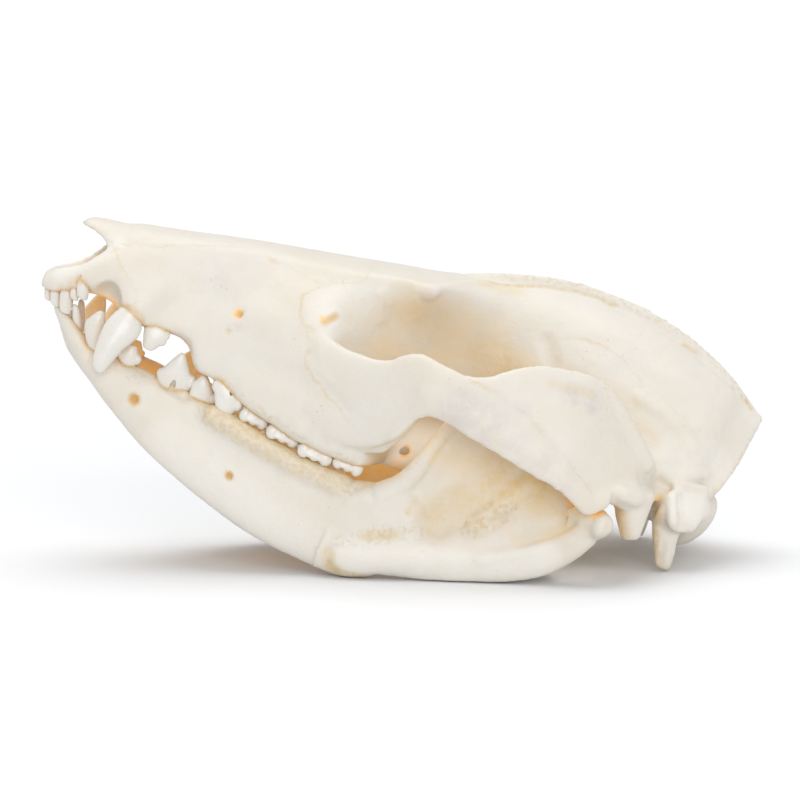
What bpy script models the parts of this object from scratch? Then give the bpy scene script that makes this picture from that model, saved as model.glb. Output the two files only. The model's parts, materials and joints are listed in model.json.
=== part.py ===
"""An opossum skull with its lower jaw in place, lying on the jaw's lower edge.

Every bone and every tooth is a closed solid of its own. The shapes are worked out in
millimetres on the skull's own axes: x runs back from the tip of the snout, y to the skull's
right and z up from the upper tooth row. At the end the skull is pitched snout-up until it
rests on the lower jaw, and turned into metres with the origin under its middle.
"""
import math

import bmesh
import bpy
import numpy as np
from mathutils import Matrix, Vector

# Driving dimensions, in millimetres unless the name says otherwise.
METRES_PER_MM = 0.001
SKULL_PITCH_DEGREES = 22.0      # how far the snout points up while the skull lies on its jaw
GROUND_DEPTH = 42.55            # the table, below the tip of the snout once the skull is pitched
GAP = 0.3                       # left between neighbouring pieces
BONE_VOXEL = 0.6                # grid on which the lobes of one bone are fused
CRANIUM_FACES = 3000
MANDIBLE_FACES = 550
NASAL_THICKNESS = 1.1           # the roof over the nose opening
SYMPHYSIS_HALF_GAP = 0.16       # the two halves of the lower jaw never fuse at the chin
JAW_CONDYLE_AXIS = (95.7, 3.7)  # x and z of the hinge line of the lower jaw
RIGHT_JAW_DROOP_DEGREES = 0.9   # the right half hangs a little lower at the chin
RIGHT_PREMOLAR_WEAR = 1.3       # the lower right second premolar is worn shorter
SMOOTHING_PASSES = 3            # evens out the skin of a fused bone
SHARP_EDGE_DEGREES = 40.0       # edges sharper than this stay crisp
BONE_ROUGHNESS = 0.55
ENAMEL_ROUGHNESS = 0.35

BONE_COLOUR = (0.83, 0.78, 0.70, 1.0)
ENAMEL_COLOUR = (0.87, 0.85, 0.79, 1.0)


# Curves and rings

def between(a, b, c, d, t):
    """The smooth curve from b to c, a share t of the way, with a before and d after."""
    return 0.5 * (2 * b + (c - a) * t + (2 * a - 5 * b + 4 * c - d) * t * t
                  + (3 * b - a - 3 * c + d) * t ** 3)


def smooth_run(points, steps):
    """Points on a smooth curve through the given ones; works in any number of dimensions."""
    points = np.asarray(points, dtype=float)
    before = 2 * points[0] - points[1]
    after = 2 * points[-1] - points[-2]
    padded = np.vstack([before, points, after])
    run = []
    for index in range(len(points) - 1):
        run += [between(*padded[index:index + 4], step / steps) for step in range(steps)]
    run.append(points[-1])
    return np.array(run)


def closed_run(points, steps):
    """The same for a closed outline: the last point runs on into the first."""
    points = np.asarray(points, dtype=float)
    wrapped = np.vstack([points[-1:], points, points[:2]])
    run = []
    for index in range(len(points)):
        run += [between(*wrapped[index:index + 4], step / steps) for step in range(steps)]
    return np.array(run)


def loft(bm, rings):
    """A closed body: a first ring of vertices, extruded from ring to ring and capped."""
    count = len(rings[0])
    loop = bmesh.ops.create_circle(bm, segments=count, radius=1.0)["verts"]
    for vert, place in zip(loop, rings[0]):
        vert.co = place
    body = [bm.faces.new(loop)]
    for ring in rings[1:]:
        edges = [bm.edges.get((loop[i], loop[(i + 1) % count])) for i in range(count)]
        made = bmesh.ops.extrude_edge_only(bm, edges=edges)["geom"]
        fresh = {item for item in made if isinstance(item, bmesh.types.BMVert)}
        loop = [next(edge.other_vert(vert) for edge in vert.link_edges
                     if edge.other_vert(vert) in fresh) for vert in loop]
        for vert, place in zip(loop, ring):
            vert.co = place
        body += [item for item in made if isinstance(item, bmesh.types.BMFace)]
    body.append(bm.faces.new(loop))
    bmesh.ops.recalc_face_normals(bm, faces=body)


def mirrored(rings):
    """The same rings on the skull's other side."""
    return [[(x, -y, z) for x, y, z in ring] for ring in rings]


def moved(rings, matrix):
    return [[tuple(matrix @ Vector(place)) for place in ring] for ring in rings]


def both_sides(bm, rings):
    """A body on the right and its twin on the left."""
    loft(bm, rings)
    loft(bm, mirrored(rings))


def strap_rings(stations, sides=14, steps=4):
    """A flattened band. A station is its upper edge, its lower edge and its thickness."""
    flat = [list(top) + list(bottom) + [thick] for top, bottom, thick in stations]
    run = smooth_run(flat, steps)
    tops, bottoms, thicks = run[:, 0:3], run[:, 3:6], run[:, 6]
    middles = (tops + bottoms) / 2
    rings = []
    for index in range(len(run)):
        ahead = middles[min(index + 1, len(run) - 1)] - middles[max(index - 1, 0)]
        tall = (tops[index] - bottoms[index]) / 2
        across = np.cross(ahead, tall)
        across *= thicks[index] / 2 / np.linalg.norm(across)
        ring = []
        for side in range(sides):
            angle = math.tau * side / sides
            up = math.copysign(abs(math.cos(angle)) ** 0.75, math.cos(angle))
            out = math.copysign(abs(math.sin(angle)) ** 0.75, math.sin(angle))
            ring.append(tuple(middles[index] + tall * up + across * out))
        rings.append(ring)
    return rings


def tube_rings(stations, sides=12, steps=4):
    """A round bar. A station is its middle and its radius."""
    run = smooth_run([list(middle) + [radius] for middle, radius in stations], steps)
    rings = []
    for index in range(len(run)):
        ahead = run[min(index + 1, len(run) - 1), :3] - run[max(index - 1, 0), :3]
        ahead = Vector(ahead).normalized()
        side_way = ahead.orthogonal().normalized()
        other_way = ahead.cross(side_way)
        middle = Vector(run[index, :3])
        ring = []
        for side in range(sides):
            angle = math.tau * side / sides
            offset = side_way * math.cos(angle) + other_way * math.sin(angle)
            ring.append(tuple(middle + offset * run[index, 3]))
        rings.append(ring)
    return rings


def lump(bm, middle, radii, turn_degrees=0.0):
    """An egg-shaped lump on both sides, turned about the side-to-side axis."""
    for side in (1, -1):
        ball = bmesh.ops.create_icosphere(bm, subdivisions=3, radius=1.0)["verts"]
        place = (Matrix.Translation((middle[0], side * middle[1], middle[2]))
                 @ Matrix.Rotation(math.radians(turn_degrees), 4, "Y")
                 @ Matrix.Diagonal((*radii, 1.0)))
        bmesh.ops.transform(bm, matrix=place, verts=ball)
        if middle[1] == 0:
            break


# Objects and modifiers

def new_object(name, bm):
    mesh = bpy.data.meshes.new(name)
    bm.to_mesh(mesh)
    bm.free()
    thing = bpy.data.objects.new(name, mesh)
    bpy.context.collection.objects.link(thing)
    return thing


def bake(thing):
    """Turns an object's modifiers into its mesh."""
    graph = bpy.context.evaluated_depsgraph_get()
    shaped = bpy.data.meshes.new_from_object(thing.evaluated_get(graph))
    thing.modifiers.clear()
    old = thing.data
    thing.data = shaped
    bpy.data.meshes.remove(old)


def fuse(thing):
    """Joins overlapping lobes into one skin and evens it out."""
    skin = thing.modifiers.new("skin", "REMESH")
    skin.mode = "VOXEL"
    skin.voxel_size = BONE_VOXEL
    even = thing.modifiers.new("even", "SMOOTH")
    even.iterations = SMOOTHING_PASSES
    bake(thing)


def cut(thing, cutter):
    """Takes one object out of another; the cutter's bodies may overlap one another."""
    taking = thing.modifiers.new("cut", "BOOLEAN")
    taking.operation = "DIFFERENCE"
    taking.solver = "EXACT"
    taking.use_self = True
    taking.object = cutter
    bake(thing)


def thin_out(thing, faces):
    """Fewer, larger faces where the bone is flat."""
    count = sum(len(face.vertices) - 2 for face in thing.data.polygons)
    fewer = thing.modifiers.new("fewer", "DECIMATE")
    fewer.ratio = faces / count
    fewer.use_collapse_triangulate = True
    bake(thing)


def press(thing, path, radius, height, side=1):
    """Raises (or, with a negative height, hollows) the skin along a path, fading to its edge."""
    mesh = thing.data
    count = len(mesh.vertices)
    places = np.empty(count * 3)
    mesh.vertices.foreach_get("co", places)
    places = places.reshape(-1, 3)
    normals = np.empty(count * 3)
    mesh.vertices.foreach_get("normal", normals)
    normals = normals.reshape(-1, 3)
    line = np.asarray(path, dtype=float) * (1, side, 1)
    nearest = np.full(count, np.inf)
    if len(line) == 1:
        nearest = np.linalg.norm(places - line[0], axis=1)
    for start, end in zip(line[:-1], line[1:]):
        along = end - start
        share = np.clip((places - start) @ along / (along @ along), 0, 1)
        nearest = np.minimum(nearest, np.linalg.norm(places - start - share[:, None] * along, axis=1))
    fade = np.clip(1 - (nearest / radius) ** 2, 0, 1) ** 2
    places += normals * (fade * height)[:, None]
    mesh.vertices.foreach_set("co", places.ravel())
    mesh.update()


def press_both(thing, path, radius, height):
    press(thing, path, radius, height, 1)
    press(thing, path, radius, height, -1)


# The cranium

def cranium_sections():
    """Half outlines of the braincase and snout, from the top middle round to the palate."""
    # distance from the snout, lean of the section, then (half width, height) points
    return [
        (-0.8, 0, [(0, 6.1), (1.2, 6.0), (2.0, 5.6), (2.5, 5.0), (2.6, 4.5),
            (2.3, 3.9), (1.7, 3.5), (0.8, 3.5), (0, 3.6)]),
        (1.2, 0, [(0, 8.0), (2.0, 7.9), (3.4, 7.4), (4.2, 6.4), (4.4, 5.2),
            (4.2, 4.0), (3.2, 3.5), (1.6, 3.7), (0, 3.8)]),
        (4.0, 0, [(0, 10.8), (2.6, 10.6), (4.6, 9.8), (5.8, 8.2), (6.1, 6.3),
            (5.8, 4.8), (4.2, 4.0), (2.1, 4.2), (0, 4.4)]),
        (7.0, 0, [(0, 15.0), (3.4, 14.7), (5.6, 13.2), (7.2, 10.6), (7.7, 8.4),
            (7.4, 6.4), (5.4, 5.0), (2.7, 4.8), (0, 4.9)]),
        (10.0, 0, [(0, 18.7), (4.2, 18.0), (6.6, 15.8), (8.6, 12.8), (9.4, 9.8),
            (9.2, 7.0), (7.0, 5.2), (3.5, 5.0), (0, 5.1)]),
        (14.5, 0, [(0, 19.9), (5.0, 19.1), (7.6, 17.0), (9.8, 13.4), (11.4, 9.4),
            (11.8, 6.0), (9.4, 4.8), (4.7, 4.8), (0, 5.0)]),
        (19.0, 0, [(0, 21.0), (5.8, 20.2), (8.0, 18.0), (9.6, 14.6), (10.6, 10.0),
            (11.0, 5.4), (8.8, 4.2), (4.4, 4.5), (0, 4.8)]),
        (25.0, 0, [(0, 22.5), (6.6, 21.7), (8.8, 19.4), (10.4, 15.6), (11.4, 10.6),
            (11.9, 4.6), (9.8, 3.0), (4.9, 3.5), (0, 3.9)]),
        (31.0, 0, [(0, 23.9), (7.4, 23.1), (9.6, 20.8), (11.6, 17.2), (13.4, 11.8),
            (13.8, 3.4), (12.0, 0.7), (6.0, 1.7), (0, 2.1)]),
        (37.0, 0, [(0, 25.2), (8.4, 24.3), (10.8, 22.0), (13.6, 18.6), (15.9, 12.6),
            (15.9, 2.8), (14.2, -1.2), (7.0, 0.4), (0, 0.8)]),
        (42.5, 0, [(0, 26.3), (9.4, 25.3), (12.0, 22.8), (15.8, 18.8), (18.2, 12.8),
            (18.0, 2.8), (16.2, -2.3), (8.0, -0.8), (0, -0.2)]),
        (45.5, 0, [(0, 26.9), (9.8, 25.9), (11.6, 23.8), (11.6, 19.4), (17.6, 14.4),
            (19.2, 3.6), (17.2, -2.9), (8.5, -1.2), (0, -0.6)]),
        (49.0, 0, [(0, 27.7), (10.2, 26.7), (11.4, 24.8), (9.2, 18.6), (14.8, 12.0),
            (19.4, 4.0), (18.0, -3.2), (8.8, -1.4), (0, -1.0)]),
        (54.0, 0, [(0, 28.8), (11.0, 27.8), (12.1, 26.2), (8.8, 18.8), (13.2, 8.6),
            (19.2, 2.6), (18.8, -3.2), (9.0, -1.7), (0, -1.3)]),
        (58.5, 0, [(0, 29.7), (11.4, 28.4), (12.7, 26.6), (8.9, 19.0), (11.2, 7.0),
            (17.6, 1.2), (18.2, -2.8), (9.0, -1.9), (0, -1.5)]),
        (62.5, 0, [(0, 30.7), (8.8, 29.5), (10.4, 27.3), (8.0, 19.0), (8.6, 7.6),
            (11.0, 1.8), (10.4, -1.3), (6.0, -1.5), (0, -1.3)]),
        (67.0, 0, [(0, 31.6), (4.6, 30.6), (7.6, 27.6), (6.6, 19.0), (6.2, 10.5),
            (6.2, 6.5), (5.4, 4.6), (2.8, 4.6), (0, 4.8)]),
        (73.0, 0, [(0, 32.9), (2.6, 32.1), (5.6, 28.2), (6.4, 20.0), (6.0, 12.5),
            (5.6, 8.5), (4.6, 6.6), (2.3, 6.4), (0, 6.4)]),
        (80.0, 0, [(0, 34.6), (3.2, 33.8), (7.4, 30.0), (10.4, 21.5), (9.8, 13.5),
            (7.6, 9.0), (5.4, 6.8), (2.7, 6.2), (0, 6.2)]),
        (88.0, 0, [(0, 35.2), (4.2, 34.3), (9.6, 30.8), (13.8, 22.4), (14.0, 13.8),
            (11.0, 8.4), (7.2, 6.0), (3.6, 5.4), (0, 5.4)]),
        (96.0, 0.05, [(0, 34.5), (4.8, 33.6), (10.6, 30.0), (15.2, 21.8), (16.4, 13.6),
            (13.0, 8.0), (8.0, 5.4), (4.0, 5.0), (0, 5.0)]),
        (103.0, 0.12, [(0, 32.6), (5.2, 31.6), (11.2, 28.0), (15.6, 20.8), (16.8, 13.4),
            (14.0, 7.8), (8.4, 5.2), (4.2, 5.0), (0, 5.0)]),
        (108.5, 0.22, [(0, 30.4), (5.2, 29.2), (10.8, 25.2), (14.8, 18.8), (16.2, 12.4),
            (13.6, 8.0), (8.6, 5.6), (4.3, 5.4), (0, 5.4)]),
        (111.5, 0.30, [(0, 28.2), (4.6, 26.8), (9.4, 22.8), (12.6, 17.6), (13.4, 12.6),
            (11.4, 9.2), (7.6, 7.0), (3.8, 6.8), (0, 6.8)]),
    ]


def cranium_core(bm):
    sections = cranium_sections()
    flat = []
    for distance, lean, half in sections:
        whole = half + [(-y, z) for y, z in reversed(half[1:-1])]
        outline = closed_run(whole, 3)
        flat.append([distance, lean] + list(outline.ravel()))
    rings = []
    for row in smooth_run(flat, 4):
        distance, lean, outline = row[0], row[1], row[2:].reshape(-1, 2)
        rings.append([(distance + lean * (z - 15), y, z) for y, z in outline])
    loft(bm, rings)


def nasal_bones(bm):
    """The thin roof that overhangs the nose opening, curled down at its tip."""
    stations = [
        # distance, half width, height of the ridge, height of the side edges
        (1.9, 1.5, 15.7, 15.2),
        (2.7, 2.8, 16.9, 15.6),
        (4.2, 4.0, 17.5, 15.4),
        (6.6, 5.4, 18.0, 14.8),
        (9.0, 6.0, 18.4, 14.4),
        (13.0, 6.4, 19.3, 15.0)]
    rings = []
    for distance, half_width, ridge, edge in smooth_run(stations, 4):
        arch = [math.pi * step / 12 - math.pi / 2 for step in range(13)]
        outer = [(math.sin(angle), math.cos(angle)) for angle in arch]
        ring = [(distance, half_width * y, edge + (ridge - edge) * z) for y, z in outer]
        ring += [(distance, (half_width - NASAL_THICKNESS) * y,
                  edge - 0.2 + (ridge - edge - NASAL_THICKNESS) * z) for y, z in reversed(outer)]
        rings.append(ring)
    loft(bm, rings)


def zygomatic_arch(bm):
    both_sides(bm, strap_rings([
        ((40.5, 14.5, 16.5), (43.0, 15.5, 1.0), 3.5),
        ((44.3, 17.9, 15.0), (47.5, 17.7, -0.6), 4.0),
        ((49.2, 21.6, 14.4), (52.6, 19.4, -0.8), 3.8),
        ((54.4, 25.6, 15.3), (57.0, 21.0, 0.2), 3.4),
        ((58.6, 28.0, 18.2), (60.6, 24.0, 3.4), 3.2),
        ((62.2, 29.6, 18.2), (62.6, 28.2, 8.8), 3.0),
        ((66.0, 30.5, 18.1), (66.2, 30.0, 9.9), 2.8),
        ((70.0, 31.0, 19.4), (70.4, 31.5, 9.5), 2.8),
        ((75.0, 29.6, 22.9), (76.0, 32.5, 8.6), 2.6),
        ((80.0, 28.0, 24.6), (81.8, 33.5, 7.7), 2.5),
        ((86.0, 25.6, 25.2), (87.2, 34.0, 6.9), 2.5),
        ((91.0, 22.4, 23.4), (91.4, 33.0, 5.6), 2.7),
        ((95.5, 19.6, 20.6), (96.0, 29.6, 8.2), 3.0),
        ((99.0, 17.0, 17.6), (100.0, 25.0, 7.6), 3.6),
        ((101.5, 13.5, 15.5), (102.4, 19.0, 7.6), 4.4),
        ((102.0, 9.0, 14.5), (103.0, 12.0, 7.6), 4.4)]))
    # the jugal's hind tip, in front of the jaw joint
    both_sides(bm, strap_rings([
        ((86.0, 33.4, 10.0), (86.5, 33.7, 7.0), 2.2),
        ((90.0, 32.9, 9.0), (90.2, 33.0, 5.4), 2.2),
        ((92.4, 32.0, 8.0), (92.7, 32.1, 4.6), 1.8)]))


def jaw_joint_roof(bm):
    lump(bm, (98.2, 22.5, 9.6), (5.4, 8.2, 2.4))
    both_sides(bm, strap_rings([
        ((101.4, 19.0, 9.6), (101.6, 28.2, 9.0), 4.6),
        ((101.9, 20.4, 6.6), (102.0, 27.6, 6.4), 4.0),
        ((102.5, 21.6, 4.4), (102.5, 26.4, 4.4), 3.0),
        ((102.8, 22.8, 2.6), (102.8, 25.2, 2.6), 1.8)]))


def skull_base(bm):
    # mastoid, paroccipital process and the two knobs that meet the neck
    lump(bm, (107.6, 16.0, 9.6), (3.6, 2.8, 3.8))
    both_sides(bm, strap_rings([
        ((106.2, 16.2, 8.0), (112.2, 14.6, 8.6), 4.0),
        ((107.0, 16.8, 4.6), (111.6, 15.6, 4.6), 3.0),
        ((108.0, 17.1, 1.6), (111.3, 16.4, 1.6), 2.4),
        ((109.0, 17.2, -0.8), (110.9, 16.8, -0.8), 1.9)]))
    lump(bm, (114.2, 6.6, 7.6), (3.3, 3.1, 6.1), 22)
    lump(bm, (103.0, 14.0, 14.5), (4.6, 4.0, 5.2))
    lump(bm, (108.0, 4.5, 7.0), (6.0, 4.0, 2.4))
    lump(bm, (92.5, 9.6, 6.4), (4.6, 3.2, 2.9))
    # wing-like plates below the hind end of the nose passage
    both_sides(bm, strap_rings([
        ((60.5, 7.0, 8.0), (60.5, 7.6, -0.6), 2.2),
        ((66.0, 6.4, 8.6), (66.0, 6.8, 0.0), 1.8),
        ((72.0, 6.0, 9.4), (72.5, 6.4, 1.2), 1.6),
        ((78.0, 6.6, 9.8), (78.0, 6.8, 5.4), 1.8)]))
    # the thick hind rim of the palate
    loft(bm, tube_rings([((61.6, -10.0, -1.1), 1.4), ((63.0, -5.0, -1.4), 1.5),
                         ((63.3, 0.0, -1.4), 1.6), ((63.0, 5.0, -1.4), 1.5),
                         ((61.6, 10.0, -1.1), 1.4)]))


def crests(bm):
    # the blade along the top of the braincase
    loft(bm, strap_rings([
        ((63.5, 0, 31.2), (63.5, 0, 28.0), 2.4),
        ((68.0, 0, 33.0), (68.0, 0, 29.0), 2.2),
        ((73.0, 0, 34.9), (73.0, 0, 30.0), 2.2),
        ((80.0, 0, 36.7), (80.0, 0, 31.5), 2.2),
        ((88.0, 0, 37.3), (88.0, 0, 32.0), 2.2),
        ((96.0, 0, 36.9), (96.0, 0, 31.5), 2.2),
        ((104.0, 0, 35.2), (104.0, 0, 30.0), 2.4),
        ((111.5, 0, 32.2), (110.5, 0, 27.0), 2.6),
        ((118.0, 0, 28.2), (115.0, 0, 23.5), 3.0)]))
    # the ridge round the back of the head, from the crest down to behind the ear
    both_sides(bm, strap_rings([
        ((118.9, -1.0, 27.0), (112.0, -1.0, 26.0), 3.0),
        ((118.4, 3.8, 24.4), (111.0, 3.0, 24.0), 2.6),
        ((117.3, 8.0, 20.6), (109.5, 6.5, 20.5), 2.4),
        ((115.8, 11.4, 16.4), (108.0, 9.5, 16.5), 2.4),
        ((114.0, 13.8, 12.2), (106.5, 12.0, 12.5), 2.6),
        ((111.6, 14.8, 9.0), (105.5, 13.5, 9.5), 3.0)]))


def make_cranium():
    bm = bmesh.new()
    cranium_core(bm)
    nasal_bones(bm)
    zygomatic_arch(bm)
    jaw_joint_roof(bm)
    skull_base(bm)
    crests(bm)
    cranium = new_object("cranium", bm)
    fuse(cranium)

    hollows = bmesh.new()
    # the nose passage, open at the front and blind inside
    loft(hollows, nose_passage_rings())
    # where the spine's cord leaves the braincase
    loft(hollows, tube_rings([((122.0, 0, 8.6), 4.0), ((112.0, 0, 10.6), 3.9),
                              ((103.0, 0, 13.0), 3.4)]))
    for side in (1, -1):
        # the bay in the upper jaw that takes the tip of the lower canine
        lower_canine_bay(hollows, side)
        # paired openings of the palate
        palate_opening(hollows, (8.6, side * 2.4, 4.6), (3.2, 1.0, 2.2))
        palate_opening(hollows, (42.5, side * 4.6, -0.8), (6.4, 2.0, 2.6))
        palate_opening(hollows, (55.5, side * 4.6, -1.6), (2.6, 1.4, 2.2))
    cutter = new_object("cranium_hollows", hollows)
    cut(cranium, cutter)
    bpy.data.objects.remove(cutter)

    press_both(cranium, [(15.5, 11.0, 7.0), (18.5, 10.2, 12.0)], 3.4, 0.5)      # over the canine root
    press_both(cranium, [(23.0, 11.2, 10.0), (26.0, 11.4, 13.0)], 5.0, -0.4)    # behind it
    press_both(cranium, [(33.0, 13.6, 13.4), (37.0, 15.4, 13.0)], 4.0, 0.5)     # cheek below the tear bone
    press_both(cranium, [(59.0, 12.6, 27.0)], 2.4, 0.4)                         # bump over the eye
    # the ridges over and behind the ear opening
    press_both(cranium, [(90.5, 21.9, 21.9), (95.2, 20.0, 20.0), (99.7, 19.6, 15.6), (102.4, 18.4, 14.0)],
               2.2, 0.8)
    press_both(cranium, [(97.0, 18.0, 23.0), (104.0, 16.4, 22.0), (108.0, 14.6, 19.5)], 2.4, 0.8)
    thin_out(cranium, CRANIUM_FACES)
    return cranium


def nose_passage_rings():
    stations = [
        # distance, floor, roof, half width
        (-6.0, 7.0, 15.0, 5.4),
        (0.0, 7.2, 15.3, 4.6),
        (4.0, 7.0, 15.9, 4.7),
        (9.0, 7.2, 16.8, 5.2),
        (13.0, 8.6, 17.0, 4.4),
        (15.0, 11.0, 15.6, 2.0)]
    rings = []
    for distance, floor, roof, half_width in smooth_run(stations, 3):
        ring = []
        for side in range(16):
            angle = math.tau * side / 16
            ring.append((distance, half_width * math.cos(angle),
                         (roof + floor) / 2 + (roof - floor) / 2 * math.sin(angle)))
        rings.append(ring)
    return rings


def lower_canine_bay(bm, side):
    ball = bmesh.ops.create_icosphere(bm, subdivisions=2, radius=1.0)["verts"]
    place = Matrix.Translation((10.3, side * 9.2, 5.6)) @ Matrix.Diagonal((2.5, 3.2, 4.0, 1.0))
    bmesh.ops.transform(bm, matrix=place, verts=ball)


def palate_opening(bm, middle, radii):
    ball = bmesh.ops.create_icosphere(bm, subdivisions=2, radius=1.0)["verts"]
    place = Matrix.Translation(middle) @ Matrix.Diagonal((*radii, 1.0))
    bmesh.ops.transform(bm, matrix=place, verts=ball)


# The lower jaw, made on the right and mirrored

def jaw_body_rings():
    stations = [
        # distance, middle's y, half thickness, top, bottom
        (4.3, 1.9, 1.6, -0.5, -2.1),
        (6.2, 2.7, 2.5, -0.6, -3.4),
        (9.0, 3.9, 3.8, -1.4, -5.1),
        (12.0, 5.0, 4.4, -2.0, -7.3),
        (16.5, 6.2, 4.0, -2.0, -10.1),
        (22.0, 7.8, 3.4, -2.4, -13.2),
        (28.0, 9.3, 3.1, -2.8, -15.8),
        (34.0, 10.8, 3.1, -3.6, -17.7),
        (40.0, 12.3, 3.2, -4.7, -19.4),
        (47.0, 13.8, 3.3, -5.4, -20.8),
        (54.0, 15.0, 3.4, -5.8, -21.4),
        (59.0, 16.8, 3.5, -5.2, -21.4),
        (63.0, 18.6, 3.3, -4.0, -21.0),
        (68.0, 20.4, 2.8, -3.4, -18.4),
        (72.0, 21.4, 2.0, -6.0, -16.0)]
    rings = []
    for distance, middle, half, top, bottom in smooth_run(stations, 4):
        ring = []
        for side in range(18):
            angle = math.tau * side / 18
            out = math.copysign(abs(math.cos(angle)) ** 0.8, math.cos(angle))
            up = math.copysign(abs(math.sin(angle)) ** 0.85, math.sin(angle))
            ring.append((distance, middle + half * out, (top + bottom) / 2 + (top - bottom) / 2 * up))
        rings.append(ring)
    return rings


def jaw_shelf_rings():
    """The lip below the hollow of the chewing muscle, back to the jaw joint."""
    return strap_rings([
        ((57.0, 18.2, -13.0), (57.0, 17.4, -21.2), 4.4),
        ((63.0, 20.4, -13.0), (62.6, 19.2, -21.1), 4.4),
        ((69.0, 21.8, -10.5), (68.6, 21.4, -18.2), 3.8),
        ((74.5, 22.2, -6.8), (74.8, 23.2, -16.0), 3.2),
        ((80.0, 22.6, -2.6), (80.3, 25.0, -13.6), 3.0),
        ((85.0, 23.4, 0.0), (85.5, 26.6, -10.6), 3.0),
        ((89.5, 25.0, 3.0), (90.3, 28.0, -6.6), 3.0),
        ((93.4, 27.0, 4.6), (94.4, 29.0, -1.8), 3.0),
        ((95.4, 27.6, 4.8), (96.6, 29.0, 1.2), 2.8)], sides=16)


def coronoid_rings():
    """The thin upright plate that rises inside the cheek arch."""
    stations = [
        # height, front edge, hind edge, thickness
        (-15.0, 62.0, 68.0, 2.0),
        (-10.0, 61.5, 76.0, 2.4),
        (-5.0, 62.0, 84.0, 2.4),
        (-1.0, 63.9, 91.5, 2.4),
        (1.8, 65.0, 92.2, 2.2),
        (4.0, 65.8, 89.4, 2.0),
        (8.0, 67.2, 87.4, 1.8),
        (13.0, 69.6, 85.6, 1.7),
        (17.0, 72.8, 84.0, 1.6),
        (19.6, 76.5, 81.6, 1.2)]
    rings = []
    for height, front, hind, thick in smooth_run(stations, 4):
        ring = []
        for side in range(20):
            angle = math.tau * side / 20
            along = math.copysign(abs(math.cos(angle)) ** 0.8, math.cos(angle))
            distance = (front + hind) / 2 + (hind - front) / 2 * along
            middle = coronoid_middle(distance, height)
            ring.append((distance, middle + thick / 2 * math.sin(angle), height))
        rings.append(ring)
    return rings


def coronoid_middle(distance, height):
    return 19.4 + 0.17 * (distance - 62) + 0.05 * (height + 5)


def make_right_mandible():
    bm = bmesh.new()
    loft(bm, jaw_body_rings())
    loft(bm, jaw_shelf_rings())
    loft(bm, coronoid_rings())
    # the stout front edge of the plate
    loft(bm, tube_rings([((59.0, 18.4, -9.0), 2.0), ((61.8, 19.4, -5.0), 2.2),
                         ((64.6, 20.4, 0.0), 2.0), ((66.8, 21.2, 5.0), 1.8),
                         ((68.8, 21.6, 10.0), 1.5), ((71.6, 22.2, 14.6), 1.2)]))
    # the cross-wise roller of the jaw joint
    loft(bm, jaw_roller_rings())
    # the shelf that turns inwards below it
    loft(bm, strap_rings([
        ((75.0, 22.0, -15.6), (75.5, 18.6, -14.6), 2.0),
        ((80.5, 24.0, -13.2), (80.0, 17.4, -12.6), 2.0),
        ((85.5, 25.4, -10.4), (85.0, 16.2, -10.2), 2.0),
        ((89.5, 26.4, -7.2), (89.0, 16.0, -7.6), 2.0),
        ((92.0, 26.6, -4.6), (91.6, 17.6, -5.4), 1.8)]))
    mandible = new_object("right_mandible", bm)
    fuse(mandible)
    # the hollow of the chewing muscle, and the swelling at its front foot
    press(mandible, [(66.0, 24.0, -6.5), (72.0, 24.0, -3.0), (77.0, 24.5, 2.0)], 5.5, -0.7)
    press(mandible, [(78.0, 26.0, -7.5), (86.0, 27.0, -4.0)], 4.0, -0.6)
    press(mandible, [(62.4, 19.0, -21.2)], 3.0, 0.4)
    return mandible


def jaw_roller_rings():
    x, z = JAW_CONDYLE_AXIS
    stations = [(20.4, 0.5, 0.6), (21.0, 1.3, 1.5), (23.0, 1.7, 1.9), (27.0, 1.9, 2.2),
                (31.0, 1.8, 2.3), (32.5, 1.2, 1.6), (32.9, 0.5, 0.6)]
    rings = []
    for y, across, tall in stations:
        ring = [(x + across * math.cos(math.tau * side / 14), y,
                 z + tall * math.sin(math.tau * side / 14)) for side in range(14)]
        rings.append(ring)
    return rings


# Teeth: each is a stack of rings from the root's tip to the crown's tip

def ring_of(level, sides, grow):
    """A level is (x, y, z, half length, half width, corner, slope of the rim)."""
    x, y, z, half_length, half_width, corner, slope = level
    ring = []
    for side in range(sides):
        angle = math.tau * side / sides
        along = math.copysign(abs(math.cos(angle)) ** corner, math.cos(angle))
        out = math.copysign(abs(math.sin(angle)) ** corner, math.sin(angle))
        across = (half_width + grow) * out
        ring.append((x + (half_length + grow) * along, y + across, z + slope * across))
    return ring


def tooth_rings(levels, sides, grow=0.0):
    """With a grow, the same tooth a little larger all over: the shape of its socket."""
    levels = [list(level) for level in levels]
    way = 1 if levels[-1][2] > levels[0][2] else -1
    levels[0][2] -= way * grow
    levels[-1][2] += way * grow
    return [ring_of(level, sides, grow) for level in levels]


def upper_incisor(x, y, gum, tip, half_length, half_width, lean):
    return [
        (x + 0.8, y, gum + 2.4, half_length * 0.6, half_width * 0.6, 1, 0),
        (x + 0.2, y, gum, half_length * 0.9, half_width, 1, 0),
        (x - lean * 0.5, y, (gum + tip) / 2, half_length * 1.05, half_width, 1, 0),
        (x - lean, y, tip, half_length * 0.75, half_width * 0.55, 1, 0)]


def lower_incisor(base, tip, half_length, half_width):
    base, tip = np.array(base), np.array(tip)
    run = tip - base
    return [
        (*(base - run * 0.32), half_length * 0.55, half_width * 0.55, 1, 0),
        (*base, half_length * 0.8, half_width * 0.8, 1, 0),
        (*(base + run * 0.65), half_length, half_width, 1, 0),
        (*tip, half_length * 0.6, half_width * 0.5, 1, 0)]


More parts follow.
